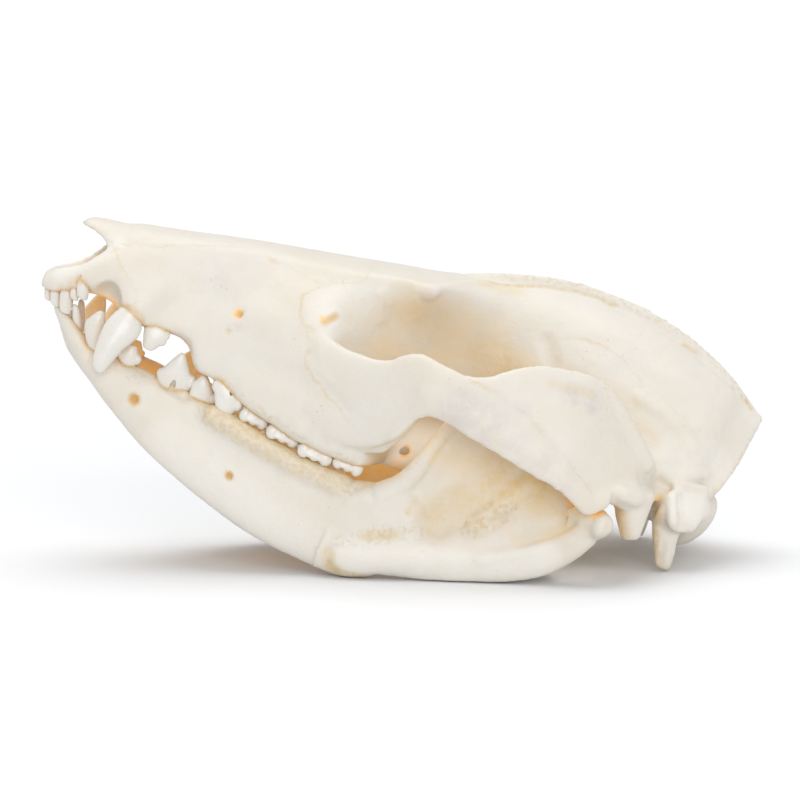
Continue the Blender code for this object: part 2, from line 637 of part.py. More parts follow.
UPPER_MOLARS = [
    # x middle, y middle, gum, buccal tip, half length, half width
    (39.2, 12.5, -1.7, -4.0, 2.25, 2.3),
    (44.6, 14.2, -2.5, -4.7, 2.65, 2.5),
    (50.5, 15.8, -3.0, -5.4, 2.75, 2.6),
    (56.0, 16.3, -2.8, -5.0, 2.25, 2.3)]
LOWER_MOLARS = [
    # x middle, y middle, gum, top, half length, half width
    (37.0, 11.0, -4.5, -3.1, 2.1, 1.35),
    (42.2, 11.9, -5.0, -3.45, 2.35, 1.45),
    (47.9, 13.0, -5.5, -3.95, 2.5, 1.5),
    (53.9, 13.9, -5.8, -4.3, 2.6, 1.5)]
MOLAR_SLOPE = -0.35     # the chewing faces of the upper and lower molars tilt alike


def upper_molar(x, y, gum, tip, half_length, half_width):
    inner = tip - MOLAR_SLOPE * half_width
    return [
        (x, y, gum + 2.6, half_length * 0.62, half_width * 0.62, 0.8, 0),
        (x, y, gum, half_length * 0.86, half_width * 0.84, 0.75, 0),
        (x, y, (gum + inner) / 2 - 0.2, half_length, half_width, 0.7, MOLAR_SLOPE / 2),
        (x, y, inner, half_length * 0.88, half_width * 0.86, 0.75, MOLAR_SLOPE)]


def lower_molar(x, y, gum, top, half_length, half_width):
    return [
        (x, y, gum - 2.8, half_length * 0.62, half_width * 0.62, 0.8, 0),
        (x, y, gum, half_length * 0.88, half_width * 0.86, 0.75, 0),
        (x, y, (gum + top) / 2, half_length, half_width, 0.7, MOLAR_SLOPE / 2),
        (x, y, top, half_length * 0.84, half_width * 0.8, 0.75, MOLAR_SLOPE)]


def teeth_of_one_side():
    """Name, sides and levels of every tooth on the right; the upper second premolar is lost."""
    teeth = {
        "upper_incisor_1": (6, upper_incisor(0.9, 1.3, 3.6, 1.8, 0.55, 0.6, 0.2)),
        "upper_incisor_2": (6, upper_incisor(2.3, 2.8, 3.9, 1.6, 0.7, 0.6, 0.1)),
        "upper_incisor_3": (6, upper_incisor(3.9, 4.15, 4.2, 1.4, 0.85, 0.6, -0.1)),
        "upper_incisor_4": (6, upper_incisor(5.0, 5.5, 4.9, 3.6, 0.5, 0.45, 0.0)),
        "upper_incisor_5": (6, upper_incisor(6.2, 6.2, 6.0, 4.2, 0.8, 0.6, 0.0)),
        "upper_canine": (8, [
            (16.4, 9.7, 10.5, 1.3, 0.9, 1, 0),
            (15.0, 10.5, 5.6, 2.15, 1.45, 1, 0),
            (14.4, 11.4, 1.4, 2.05, 1.4, 1, 0),
            (13.8, 12.2, -2.0, 1.3, 0.95, 1, 0),
            (13.4, 12.7, -4.6, 0.45, 0.35, 1, 0)]),
        "upper_premolar_1": (8, [
            (19.0, 9.9, 6.2, 0.9, 0.6, 1, 0),
            (19.0, 10.2, 4.0, 1.6, 0.85, 1, 0),
            (18.9, 10.4, 2.7, 1.6, 0.85, 1, 0),
            (18.5, 10.5, 1.3, 0.7, 0.5, 1, 0)]),
        "upper_premolar_3": (8, [
            (33.6, 11.9, 3.4, 1.8, 0.8, 1, 0),
            (33.8, 12.6, 0.4, 2.6, 1.1, 0.9, 0),
            (34.2, 13.0, -1.8, 2.0, 1.1, 1, 0),
            (34.9, 13.3, -4.5, 0.45, 0.4, 1, 0)]),
        "lower_incisor_1": (6, lower_incisor((5.2, 0.8, -1.1), (3.8, 0.8, 1.9), 0.5, 0.42)),
        "lower_incisor_2": (6, lower_incisor((5.8, 1.9, -1.0), (4.3, 1.8, 2.1), 0.55, 0.45)),
        "lower_incisor_3": (6, lower_incisor((6.6, 3.1, -1.0), (5.1, 2.8, 2.3), 0.6, 0.45)),
        "lower_incisor_4": (6, lower_incisor((7.7, 4.2, -1.2), (6.2, 3.8, 2.7), 0.65, 0.5)),
        "lower_canine": (8, [
            (13.2, 5.6, -6.6, 0.9, 0.8, 1, 0),
            (11.5, 6.9, -2.2, 1.5, 1.25, 1, 0),
            (10.9, 7.4, 0.8, 1.35, 1.1, 1, 0),
            (10.0, 7.8, 3.9, 0.55, 0.45, 1, 0)]),
        "lower_premolar_1": (8, [
            (17.3, 7.6, -4.4, 0.8, 0.6, 1, 0),
            (17.0, 8.1, -2.0, 1.4, 0.85, 1, 0),
            (16.9, 8.2, -0.6, 1.35, 0.85, 1, 0),
            (16.9, 8.3, 0.8, 0.7, 0.5, 1, 0)]),
        "lower_premolar_2": (8, [
            (25.2, 8.6, -5.6, 1.9, 0.7, 1, 0),
            (25.2, 9.2, -2.6, 2.9, 1.0, 0.9, 0),
            (25.4, 9.5, 0.0, 2.2, 0.9, 1, 0),
            (25.8, 9.7, 2.7, 0.55, 0.4, 1, 0)]),
        "lower_premolar_3": (8, [
            (31.2, 9.6, -5.8, 1.6, 0.7, 1, 0),
            (31.2, 10.1, -3.0, 2.2, 0.95, 0.9, 0),
            (30.8, 10.3, -1.2, 1.8, 0.85, 1, 0),
            (30.2, 10.4, 1.0, 0.55, 0.4, 1, 0)]),
    }
    for number, sizes in enumerate(UPPER_MOLARS, start=1):
        teeth[f"upper_molar_{number}"] = (10, upper_molar(*sizes))
    for number, sizes in enumerate(LOWER_MOLARS, start=1):
        teeth[f"lower_molar_{number}"] = (10, lower_molar(*sizes))
    return teeth


def side_name(tooth, side):
    row, rest = tooth.split("_", 1)
    return f"{row}_{'right' if side > 0 else 'left'}_{rest}"


def worn(levels, wear):
    levels = [list(level) for level in levels]
    levels[-1][2] -= wear
    levels[-2][2] -= wear / 2
    return levels


# Assembly

def clear_scene():
    for thing in list(bpy.data.objects):
        bpy.data.objects.remove(thing, do_unlink=True)


def finish_material(name, colour, roughness):
    material = bpy.data.materials.new(name)
    material.use_nodes = True
    shader = material.node_tree.nodes["Principled BSDF"]
    shader.inputs["Base Color"].default_value = colour
    shader.inputs["Roughness"].default_value = roughness
    shader.inputs["Metallic"].default_value = 0.0
    return material


def droop():
    x, z = JAW_CONDYLE_AXIS
    hinge = Matrix.Translation((x, 0, z))
    return hinge @ Matrix.Rotation(math.radians(-RIGHT_JAW_DROOP_DEGREES), 4, "Y") @ hinge.inverted()


def mirror_object(thing, name):
    bm = bmesh.new()
    bm.from_mesh(thing.data)
    bmesh.ops.transform(bm, matrix=Matrix.Diagonal((1, -1, 1, 1)), verts=bm.verts)
    bmesh.ops.reverse_faces(bm, faces=bm.faces)
    return new_object(name, bm)


def halve(thing, point, normal):
    """Cuts away what lies beyond a plane and closes the cut with a flat face."""
    bm = bmesh.new()
    bm.from_mesh(thing.data)
    everything = list(bm.verts) + list(bm.edges) + list(bm.faces)
    cut_edges = bmesh.ops.bisect_plane(bm, geom=everything, plane_co=point, plane_no=normal,
                                       clear_outer=True, dist=1e-4)["geom_cut"]
    edges = [item for item in cut_edges if isinstance(item, bmesh.types.BMEdge)]
    if edges:
        bmesh.ops.contextual_create(bm, geom=edges)
        bmesh.ops.holes_fill(bm, edges=bm.edges, sides=0)
    bmesh.ops.triangulate(bm, faces=[face for face in bm.faces if len(face.verts) > 4])
    bm.to_mesh(thing.data)
    bm.free()


def main():
    clear_scene()
    bone = finish_material("bone", BONE_COLOUR, BONE_ROUGHNESS)
    enamel = finish_material("enamel", ENAMEL_COLOUR, ENAMEL_ROUGHNESS)

    cranium = make_cranium()
    right_mandible = make_right_mandible()
    halve(right_mandible, (0, SYMPHYSIS_HALF_GAP, 0), (0, -1, 0))
    thin_out(right_mandible, MANDIBLE_FACES)
    left_mandible = mirror_object(right_mandible, "left_mandible")
    right_mandible.data.transform(droop())

    teeth = []
    sockets = bmesh.new()
    for tooth, (sides, levels) in teeth_of_one_side().items():
        for side in (1, -1):
            drooping = side > 0 and tooth.startswith("lower")
            shape = levels
            if side > 0 and tooth == "lower_premolar_2":
                shape = worn(levels, RIGHT_PREMOLAR_WEAR)
            rings = tooth_rings(shape, sides)
            socket = tooth_rings(shape, sides, GAP)
            if side < 0:
                rings, socket = mirrored(rings), mirrored(socket)
            if drooping:
                rings, socket = moved(rings, droop()), moved(socket, droop())
            bm = bmesh.new()
            loft(bm, rings)
            teeth.append(new_object(side_name(tooth, side), bm))
            loft(sockets, socket)
    cutter = new_object("sockets", sockets)
    for bone_piece in (cranium, left_mandible, right_mandible):
        cut(bone_piece, cutter)
    bpy.data.objects.remove(cutter)

    turn = Matrix.Rotation(math.radians(SKULL_PITCH_DEGREES), 4, "Y")
    pieces = [cranium, left_mandible, right_mandible] + teeth
    for piece in pieces:
        piece.data.transform(turn)
    for mandible in (left_mandible, right_mandible):
        halve(mandible, (0, 0, -GROUND_DEPTH), (0, 0, -1))
    place_on_ground(pieces)
    for piece in pieces:
        piece.data.materials.clear()
        piece.data.materials.append(enamel if piece in teeth else bone)
        piece.data.shade_smooth()
        piece.data.set_sharp_from_angle(angle=math.radians(SHARP_EDGE_DEGREES))


def place_on_ground(pieces):
    """Metres, with the origin on the table under the middle of the skull's box."""
    corners = np.array([vert.co for piece in pieces for vert in piece.data.vertices])
    low, high = corners.min(axis=0), corners.max(axis=0)
    shift = Matrix.Translation((-(low[0] + high[0]) / 2, -(low[1] + high[1]) / 2, GROUND_DEPTH))
    for piece in pieces:
        piece.data.transform(Matrix.Scale(METRES_PER_MM, 4) @ shift)


main()
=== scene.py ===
import json
import math

import bmesh
import bpy
import numpy as np
from mathutils import Matrix, Vector, noise
from mathutils.bvhtree import BVHTree
from mathutils.kdtree import KDTree

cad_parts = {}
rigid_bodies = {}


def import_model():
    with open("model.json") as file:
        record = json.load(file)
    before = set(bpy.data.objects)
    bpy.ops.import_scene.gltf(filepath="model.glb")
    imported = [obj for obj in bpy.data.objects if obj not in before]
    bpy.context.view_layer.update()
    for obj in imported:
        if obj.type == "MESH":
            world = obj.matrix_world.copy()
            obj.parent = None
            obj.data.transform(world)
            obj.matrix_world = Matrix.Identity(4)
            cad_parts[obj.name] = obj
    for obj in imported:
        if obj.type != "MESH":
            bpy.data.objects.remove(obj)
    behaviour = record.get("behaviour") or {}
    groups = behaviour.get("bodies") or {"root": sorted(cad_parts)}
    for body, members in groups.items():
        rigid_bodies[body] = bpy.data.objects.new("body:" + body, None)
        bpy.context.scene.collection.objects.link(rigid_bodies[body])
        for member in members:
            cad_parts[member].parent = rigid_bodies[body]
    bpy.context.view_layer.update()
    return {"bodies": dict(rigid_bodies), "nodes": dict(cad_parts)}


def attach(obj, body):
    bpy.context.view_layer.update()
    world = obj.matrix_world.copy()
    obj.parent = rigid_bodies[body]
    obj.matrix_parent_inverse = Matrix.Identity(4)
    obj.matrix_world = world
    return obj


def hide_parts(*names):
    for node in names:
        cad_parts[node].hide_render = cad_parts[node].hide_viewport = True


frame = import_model()
kept = set(frame["nodes"].values()) | set(frame["bodies"].values())
for thing in list(bpy.data.objects):
    if thing not in kept:
        bpy.data.objects.remove(thing)
print("stage: frame loaded")

# Bones and teeth are shaped in millimetres on the skull's own axes: x back from the tip of the
# snout, y to its right, z up from the upper tooth row. toTable lays the skull on its lower jaw.
lying = dict(pitchDegrees=22.0, alongX=-60.48, lift=42.55, metresPerMm=0.001)
toTable = (Matrix.Scale(lying["metresPerMm"], 4)
           @ Matrix.Translation((lying["alongX"], 0, lying["lift"]))
           @ Matrix.Rotation(math.radians(lying["pitchDegrees"]), 4, "Y"))

# Camera, as far off as the photograph's perspective asks

photoView = dict(target=(-0.00035, 0.0, 0.0312), yawDegrees=-3.5, riseDegrees=7.0, distance=0.6,
                 lens=162.0, sensor=36.0, shiftY=-0.035, clipStart=0.01)


def setCamera():
    yaw, rise = math.radians(photoView["yawDegrees"]), math.radians(photoView["riseDegrees"])
    back = Vector((math.sin(yaw) * math.cos(rise), -math.cos(yaw) * math.cos(rise), math.sin(rise)))
    right = Vector((math.cos(yaw), math.sin(yaw), 0))
    place = Matrix((right, back.cross(right), back)).transposed().to_4x4()
    place.translation = Vector(photoView["target"]) + back * photoView["distance"]
    camera = bpy.data.objects.new("photoCamera", bpy.data.cameras.new("photoCamera"))
    bpy.context.collection.objects.link(camera)
    camera.matrix_world = place
    camera.data.lens = photoView["lens"]
    camera.data.sensor_width = photoView["sensor"]
    camera.data.shift_y = photoView["shiftY"]
    camera.data.clip_start = photoView["clipStart"]
    bpy.context.scene.camera = camera


setCamera()

# Light and table

studio = dict(skyTone=(1.0, 1.0, 1.0, 1.0), skyStrength=0.72, tableTone=(0.815, 0.825, 0.84, 1.0),
              tableSize=8.0, tableDrop=0.00003)
lamps = {
    # soft suns: power, width in degrees, where the light comes from
    "overheadLight": (1.32, 52.0, (-0.1, 0.16, 1.0)),
    "frontLight": (1.12, 34.0, (0.1, -1.0, 0.36)),
}


def startMaterial(name, surface):
    material = bpy.data.materials.new(name)
    material.use_nodes = True
    shader = material.node_tree.nodes["Principled BSDF"]
    for label, value in surface.items():
        shader.inputs[label].default_value = value
    return material, material.node_tree, shader


def setStudio():
    world = bpy.data.worlds.new("paleStudio")
    world.use_nodes = True
    sky = world.node_tree.nodes["Background"]
    sky.inputs["Color"].default_value = studio["skyTone"]
    sky.inputs["Strength"].default_value = studio["skyStrength"]
    bpy.context.scene.world = world
    for name, (strength, width, origin) in lamps.items():
        light = bpy.data.lights.new(name, "SUN")
        light.energy = strength
        light.angle = math.radians(width)
        lamp = bpy.data.objects.new(name, light)
        lamp.location = origin
        lamp.rotation_euler = (-Vector(origin)).to_track_quat("-Z", "Y").to_euler()
        bpy.context.collection.objects.link(lamp)
    bm = bmesh.new()
    bmesh.ops.create_grid(bm, x_segments=2, y_segments=2, size=studio["tableSize"])
    bmesh.ops.translate(bm, verts=bm.verts, vec=(0, 0, -studio["tableDrop"]))
    mesh = bpy.data.meshes.new("table")
    bm.to_mesh(mesh)
    bm.free()
    table = bpy.data.objects.new("table", mesh)
    bpy.context.collection.objects.link(table)
    matt = {"Base Color": studio["tableTone"], "Roughness": 1.0, "Specular IOR Level": 0.0}
    mesh.materials.append(startMaterial("paleTable", matt)[0])
    bpy.context.scene.view_settings.view_transform = "Standard"


setStudio()
print("stage: camera and light")

# Curves and rings


def between(a, b, c, d, t):
    # the smooth curve from b to c, led by a and d
    return 0.5 * (2 * b + (c - a) * t + (2 * a - 5 * b + 4 * c - d) * t * t
                  + (3 * b - a - 3 * c + d) * t ** 3)


def runInside(points, steps):
    # steps places on each stretch, but for the first and the last stretch
    return [between(*points[index:index + 4], step / steps)
            for index in range(len(points) - 3) for step in range(steps)]


def smoothRun(points, steps):
    points = np.asarray(points, dtype=float)
    padded = np.vstack([2 * points[0] - points[1], points, 2 * points[-1] - points[-2]])
    return np.array(runInside(padded, steps) + [points[-1]])


def closedRun(points, steps):
    points = np.asarray(points, dtype=float)
    return np.array(runInside(np.vstack([points[-1:], points, points[:2]]), steps))


def turnsRound(sides):
    return [math.tau * side / sides for side in range(sides)]


def loft(bm, rings):
    # a circle is set on the first ring, then extruded from ring to ring and capped
    count = len(rings[0])
    loop = bmesh.ops.create_circle(bm, segments=count, radius=1.0)["verts"]
    for vert, place in zip(loop, rings[0]):
        vert.co = place
    body = [bm.faces.new(loop)]
    for ring in rings[1:]:
        edges = [bm.edges.get((loop[i], loop[(i + 1) % count])) for i in range(count)]
        made = bmesh.ops.extrude_edge_only(bm, edges=edges)["geom"]
        fresh = {item for item in made if isinstance(item, bmesh.types.BMVert)}
        loop = [next(edge.other_vert(vert) for edge in vert.link_edges
                     if edge.other_vert(vert) in fresh) for vert in loop]
        for vert, place in zip(loop, ring):
            vert.co = place
        body += [item for item in made if isinstance(item, bmesh.types.BMFace)]
    body.append(bm.faces.new(loop))
    bmesh.ops.recalc_face_normals(bm, faces=body)


def bothSides(bm, rings):
    loft(bm, rings)
    loft(bm, [[(x, -y, z) for x, y, z in ring] for ring in rings])


def power(value, exponent):
    return math.copysign(abs(value) ** exponent, value)


def strapRings(stations, sides=22, steps=6, corner=0.8):
    # a flattened band; a station is its upper edge, its lower edge and its thickness
    run = smoothRun([list(top) + list(bottom) + [thick] for top, bottom, thick in stations], steps)
    tops, bottoms, thicks = run[:, 0:3], run[:, 3:6], run[:, 6]
    middles = (tops + bottoms) / 2
    rings = []
    for index in range(len(run)):
        ahead = middles[min(index + 1, len(run) - 1)] - middles[max(index - 1, 0)]
        tall = (tops[index] - bottoms[index]) / 2
        across = np.cross(ahead, tall)
        across *= thicks[index] / 2 / np.linalg.norm(across)
        rings.append([tuple(middles[index] + tall * power(math.cos(turn), corner)
                            + across * power(math.sin(turn), corner)) for turn in turnsRound(sides)])
    return rings


def tubeRings(stations, sides=16, steps=5):
    # a round bar; a station is its middle and its radius
    run = smoothRun([list(middle) + [radius] for middle, radius in stations], steps)
    rings = []
    for index in range(len(run)):
        ahead = Vector(run[min(index + 1, len(run) - 1), :3] - run[max(index - 1, 0), :3]).normalized()
        oneWay = ahead.orthogonal().normalized()
        otherWay = ahead.cross(oneWay)
        rings.append([tuple(Vector(run[index, :3]) + (oneWay * math.cos(turn) + otherWay * math.sin(turn))
                            * run[index, 3]) for turn in turnsRound(sides)])
    return rings


oneSide = (1,)     # on the right, or in the middle, with no mirror image


def lump(bm, middle, radii, lean=0.0, sides=(1, -1), detail=3):
    # an egg-shaped lump, leaning about the side-to-side axis
    for side in sides:
        ball = bmesh.ops.create_icosphere(bm, subdivisions=detail, radius=1.0)["verts"]
        place = (Matrix.Translation((middle[0], side * middle[1], middle[2]))
                 @ Matrix.Rotation(math.radians(lean), 4, "Y") @ Matrix.Diagonal((*radii, 1.0)))
        bmesh.ops.transform(bm, matrix=place, verts=ball)


# Objects and modifiers


def newPiece(name, bm):
    mesh = bpy.data.meshes.new(name)
    bm.to_mesh(mesh)
    bm.free()
    piece = bpy.data.objects.new(name, mesh)
    bpy.context.collection.objects.link(piece)
    return piece


def bake(piece):
    graph = bpy.context.evaluated_depsgraph_get()
    shaped = bpy.data.meshes.new_from_object(piece.evaluated_get(graph))
    piece.modifiers.clear()
    old = piece.data
    piece.data = shaped
    bpy.data.meshes.remove(old)


def fuse(piece, voxel, passes):
    skin = piece.modifiers.new("skin", "REMESH")
    skin.mode = "VOXEL"
    skin.voxel_size = voxel
    if passes:
        even = piece.modifiers.new("even", "SMOOTH")
        even.iterations = passes
    bake(piece)


def cutAway(piece, bm):
    cutter = newPiece("cutter", bm)
    taking = piece.modifiers.new("taking", "BOOLEAN")
    taking.operation = "DIFFERENCE"
    taking.solver = "EXACT"
    taking.use_self = True
    taking.object = cutter
    bake(piece)
    bpy.data.objects.remove(cutter)


def trim(piece, point, normal):
    # cuts off what lies beyond a plane and closes the cut
    bm = bmesh.new()
    bm.from_mesh(piece.data)
    everything = list(bm.verts) + list(bm.edges) + list(bm.faces)
    found = bmesh.ops.bisect_plane(bm, geom=everything, plane_co=point, plane_no=normal,
                                   clear_outer=True, dist=1e-4)["geom_cut"]
    rim = [item for item in found if isinstance(item, bmesh.types.BMEdge)]
    if rim:
        bmesh.ops.holes_fill(bm, edges=rim, sides=0)
    bm.to_mesh(piece.data)
    bm.free()


# Carving and colouring by strokes


def readPlaces(mesh, kind="co"):
    found = np.empty(len(mesh.vertices) * 3)
    mesh.vertices.foreach_get(kind, found)
    return found.reshape(-1, 3)


def writePlaces(mesh, places):
    mesh.vertices.foreach_set("co", places.ravel())
    mesh.update()


def nearness(places, path):
    # how far each place is from a path, and the vector from the path's nearest point
    path = np.asarray(path, dtype=float)
    if len(path) == 1:
        offset = places - path[0]
        return np.linalg.norm(offset, axis=1), offset
    best = np.full(len(places), np.inf)
    offset = np.zeros_like(places)
    for start, end in zip(path[:-1], path[1:]):
        run = end - start
        share = np.clip((places - start) @ run / (run @ run), 0, 1)
        away = places - start - share[:, None] * run
        distance = np.linalg.norm(away, axis=1)
        closer = distance < best
        best = np.where(closer, distance, best)
        offset[closer] = away[closer]
    return best, offset


def fadeRound(places, path, radius):
    # one on the path, nought from the radius on
    return np.clip(1 - (nearness(places, path)[0] / radius) ** 2, 0, 1)


def carve(piece, strokes, sides=(1, -1)):
    # a stroke is a path, a radius and a height: above nought it raises the bone, below it hollows it
    places = readPlaces(piece.data)
    for path, radius, height in strokes:
        for side in sides:
            normals = readPlaces(piece.data, "normal")
            fade = fadeRound(places, np.asarray(path, dtype=float) * (1, side, 1), radius) ** 2
            places = places + normals * (fade * height)[:, None]
            writePlaces(piece.data, places)


def roughen(piece, size, height, path=None, radius=1.0):
    # fine unevenness, all over or along a path
    places = readPlaces(piece.data)
    normals = readPlaces(piece.data, "normal")
    swell = np.array([noise.noise(Vector(place) / size) for place in places]) * height
    if path is not None:
        swell *= fadeRound(places, path, radius)
    writePlaces(piece.data, places + normals * swell[:, None])


def findLayer(mesh, name):
    return mesh.attributes.get(name) or mesh.attributes.new(name, "FLOAT", "POINT")


def readLayer(mesh, name):
    values = np.empty(len(mesh.vertices))
    findLayer(mesh, name).data.foreach_get("value", values)
    return values


def writeLayer(mesh, name, values):
    findLayer(mesh, name).data.foreach_set("value", np.asarray(values, dtype=np.float32))


inwardFade = dict(start=0.35, slope=1.6)


def tint(piece, name, strokes, sides=(1, -1), inward=False):
    # a stroke is a path, a radius and a strength; inward keeps to the faces that look at the middle
    places = readPlaces(piece.data)
    normals = readPlaces(piece.data, "normal")
    values = readLayer(piece.data, name)
    for path, radius, strength in strokes:
        for side in sides:
            fade = fadeRound(places, np.asarray(path, dtype=float) * (1, side, 1), radius)
            if inward:
                fade *= np.clip(inwardFade["start"] - normals[:, 1] * side * inwardFade["slope"], 0, 1)
            values = np.maximum(values, fade * strength)
    writeLayer(piece.data, name, values)


def drawSeams(piece, paths, reach=2.2, block=20000):
    # keeps, for each point, how far it is to one side or the other of the nearest seam; the
    # points are taken a block at a time to spare memory
    places = readPlaces(piece.data)
    normals = readPlaces(piece.data, "normal")
    best = np.full(len(places), reach)
    signed = np.full(len(places), reach)
    for path in paths:
        path = smoothRun(path, 4)
        for side in (1, -1):
            line = path * (1, side, 1)
            distance, offset = nearness(places, line)
            ahead = np.zeros_like(places)
            middle = (line[:-1] + line[1:]) / 2
            for start in range(0, len(places), block):
                part = places[start:start + block]
                nearest = np.linalg.norm(part[:, None, :] - middle[None], axis=2).argmin(axis=1)
                ahead[start:start + block] = (line[1:] - line[:-1])[nearest]
            hand = np.sign(np.einsum("ij,ij->i", np.cross(ahead, normals), offset))
            closer = distance < best
            best = np.where(closer, distance, best)
            signed = np.where(closer, distance * hand, signed)
    writeLayer(piece.data, "seam", signed)
    writeLayer(piece.data, "seamShow", np.clip((reach - best) / reach, 0, 1))


# rays spread evenly over a ball, for how sheltered a place is: how many, how far they reach and how
# far off the bone they start, in metres, the least slope to the surface, and passes that even it out
shelter = dict(rays=44, reach=0.03, stand=0.0011, grazing=0.12, passes=3)
skyWays = []
for step in range(shelter["rays"]):
    rise = 1 - 2 * (step + 0.5) / shelter["rays"]
    turn = step * math.pi * (3 - math.sqrt(5))
    skyWays.append(Vector((math.cos(turn) * math.sqrt(1 - rise * rise),
                           math.sin(turn) * math.sqrt(1 - rise * rise), rise)))


def meshTree(pieces):
    corners, faces = [], []
    for piece in pieces:
        start = len(corners)
        corners += [tuple(vert.co) for vert in piece.data.vertices]
        faces += [[start + index for index in face.vertices] for face in piece.data.polygons]
    return BVHTree.FromPolygons(corners, faces)


def findShelter(piece, tree):
    # how much of its surroundings each point can't see, from rays against the bones
    mesh = piece.data
    places = readPlaces(mesh)
    normals = readPlaces(mesh, "normal")
    hidden = np.zeros(len(places))
    for index in range(len(places)):
        normal = Vector(normals[index])
        start = Vector(places[index]) + normal * shelter["stand"]
        total = blocked = 0.0
        for way in skyWays:
            facing = way.dot(normal)
            if facing > shelter["grazing"]:
                total += facing
                if tree.ray_cast(start, way, shelter["reach"])[0] is not None:
                    blocked += facing
        hidden[index] = blocked / total if total else 1.0
    pairs = np.empty(len(mesh.edges) * 2, dtype=np.int64)
    mesh.edges.foreach_get("vertices", pairs)
    first, second = pairs[0::2], pairs[1::2]
    for step in range(shelter["passes"]):
        total, count = hidden.copy(), np.ones(len(hidden))
        np.add.at(total, first, hidden[second])
        np.add.at(total, second, hidden[first])
        np.add.at(count, first, 1)
        np.add.at(count, second, 1)
        hidden = total / count
    writeLayer(mesh, "shelter", hidden)


def finishPiece(piece, material, slot, *nodes):
    mesh = piece.data
    mesh.materials.clear()
    mesh.materials.append(material)
    mesh.shade_smooth()
    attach(piece, "root")
    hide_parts(*nodes)


# Node helpers and the groups that both finishes use


def feed(tree, socket, value):
    # a value is another node's output or a plain number or colour
    if isinstance(value, bpy.types.NodeSocket):
        tree.links.new(value, socket)
    else:
        socket.default_value = value


def addNode(tree, kind, setup=None, **inputs):
    made = tree.nodes.new("ShaderNode" + kind)
    for name, value in (setup or {}).items():
        setattr(made, name, value)
    for name, value in inputs.items():
        feed(tree, made.inputs[name], value)
    return made


def reckon(tree, operation, first, second=0.0, clamp=False):
    made = addNode(tree, "Math", {"operation": operation, "use_clamp": clamp})
    feed(tree, made.inputs[0], first)
    feed(tree, made.inputs[1], second)
    return made.outputs[0]


def times(tree, first, second):
    return reckon(tree, "MULTIPLY", first, second)


def blend(tree, share, first, second):
    made = addNode(tree, "Mix", {"data_type": "RGBA"})
    feed(tree, made.inputs[0], share)
    feed(tree, made.inputs[6], first)
    feed(tree, made.inputs[7], second)
    return made.outputs[2]


def spread(tree, value, low, high, least=0.0, most=1.0):
    made = addNode(tree, "MapRange", {"interpolation_type": "SMOOTHSTEP"})
    feed(tree, made.inputs[0], value)
    for socket, number in zip(made.inputs[1:5], (low, high, least, most)):
        feed(tree, socket, number)
    return made.outputs[0]


def cloud(tree, place, scale, detail=3.0, roughness=0.55):
    return addNode(tree, "TexNoise", None, Vector=place, Scale=scale, Detail=detail,
                   Roughness=roughness).outputs[0]


def layer(tree, name):
    return addNode(tree, "Attribute", {"attribute_name": name}).outputs["Fac"]


def startGroup(name, inputs, outputs):
    tree = bpy.data.node_groups.new(name, "ShaderNodeTree")
    for label, kind, value in inputs:
        socket = tree.interface.new_socket(name=label, in_out="INPUT", socket_type="NodeSocket" + kind)
        if value is not None:
            socket.default_value = value
    for label, kind in outputs:
        tree.interface.new_socket(name=label, in_out="OUTPUT", socket_type="NodeSocket" + kind)
    return tree, tree.nodes.new("NodeGroupInput"), tree.nodes.new("NodeGroupOutput")


def makeGrainGroup():
    # mottled tone, tiny pores and the unevenness of a dry surface
    tree, given, out = startGroup(
        "dryGrain",
        [("Place", "Vector", None), ("Light", "Color", (0.8, 0.8, 0.8, 1)),
         ("Warm", "Color", (0.7, 0.6, 0.5, 1)), ("Pores", "Float", 0.5)],
        [("Color", "Color"), ("Roughness", "Float"), ("Height", "Float")])
    place = given.outputs["Place"]
    broad = spread(tree, cloud(tree, place, 42.0, 4.0, 0.6), 0.36, 0.68)
    middle = spread(tree, cloud(tree, place, 210.0, 4.0, 0.6), 0.35, 0.7)
    mixed = reckon(tree, "ADD", times(tree, broad, 0.65), times(tree, middle, 0.35))
    tone = blend(tree, mixed, given.outputs["Light"], given.outputs["Warm"])
    dots = addNode(tree, "TexVoronoi", None, Vector=place, Scale=760.0, Randomness=1.0).outputs["Distance"]
    dots = spread(tree, dots, 0.06, 0.2, 1.0, 0.0)
    where = spread(tree, cloud(tree, place, 95.0, 2.0), 0.5, 0.72)
    pores = times(tree, times(tree, dots, where), given.outputs["Pores"])
    tone = blend(tree, times(tree, pores, 0.45), tone, (0.52, 0.40, 0.27, 1))
    fine = cloud(tree, place, 1500.0, 3.0, 0.6)
    height = reckon(tree, "ADD", times(tree, fine, 0.35), times(tree, middle, 0.65))
    height = reckon(tree, "SUBTRACT", height, times(tree, pores, 1.6))
    tree.links.new(tone, out.inputs["Color"])
    tree.links.new(spread(tree, fine, 0.3, 0.7, -0.05, 0.06), out.inputs["Roughness"])
    tree.links.new(height, out.inputs["Height"])
    return tree


def makeStainGroup():
    # lays one soft layer of colour over another, a stain or a painted light or shade; a fine cloud breaks
    # it up
    tree, given, out = startGroup(
        "stainAndPaintedLight",
        [("Place", "Vector", None), ("Base", "Color", (0.8, 0.8, 0.8, 1)),
         ("Stain", "Color", (0.5, 0.4, 0.3, 1)), ("Mask", "Float", 0.0), ("Break", "Float", 0.5),
         ("Scale", "Float", 500.0)],
        [("Color", "Color"), ("Mask", "Float")])
    patch = spread(tree, cloud(tree, given.outputs["Place"], given.outputs["Scale"], 4.0, 0.65), 0.35, 0.68)
    gaps = reckon(tree, "SUBTRACT", 1.0, times(tree, patch, given.outputs["Break"]))
    shown = reckon(tree, "MULTIPLY", given.outputs["Mask"], gaps, True)
    tree.links.new(blend(tree, shown, given.outputs["Base"], given.outputs["Stain"]), out.inputs["Color"])
    tree.links.new(shown, out.inputs["Mask"])
    return tree


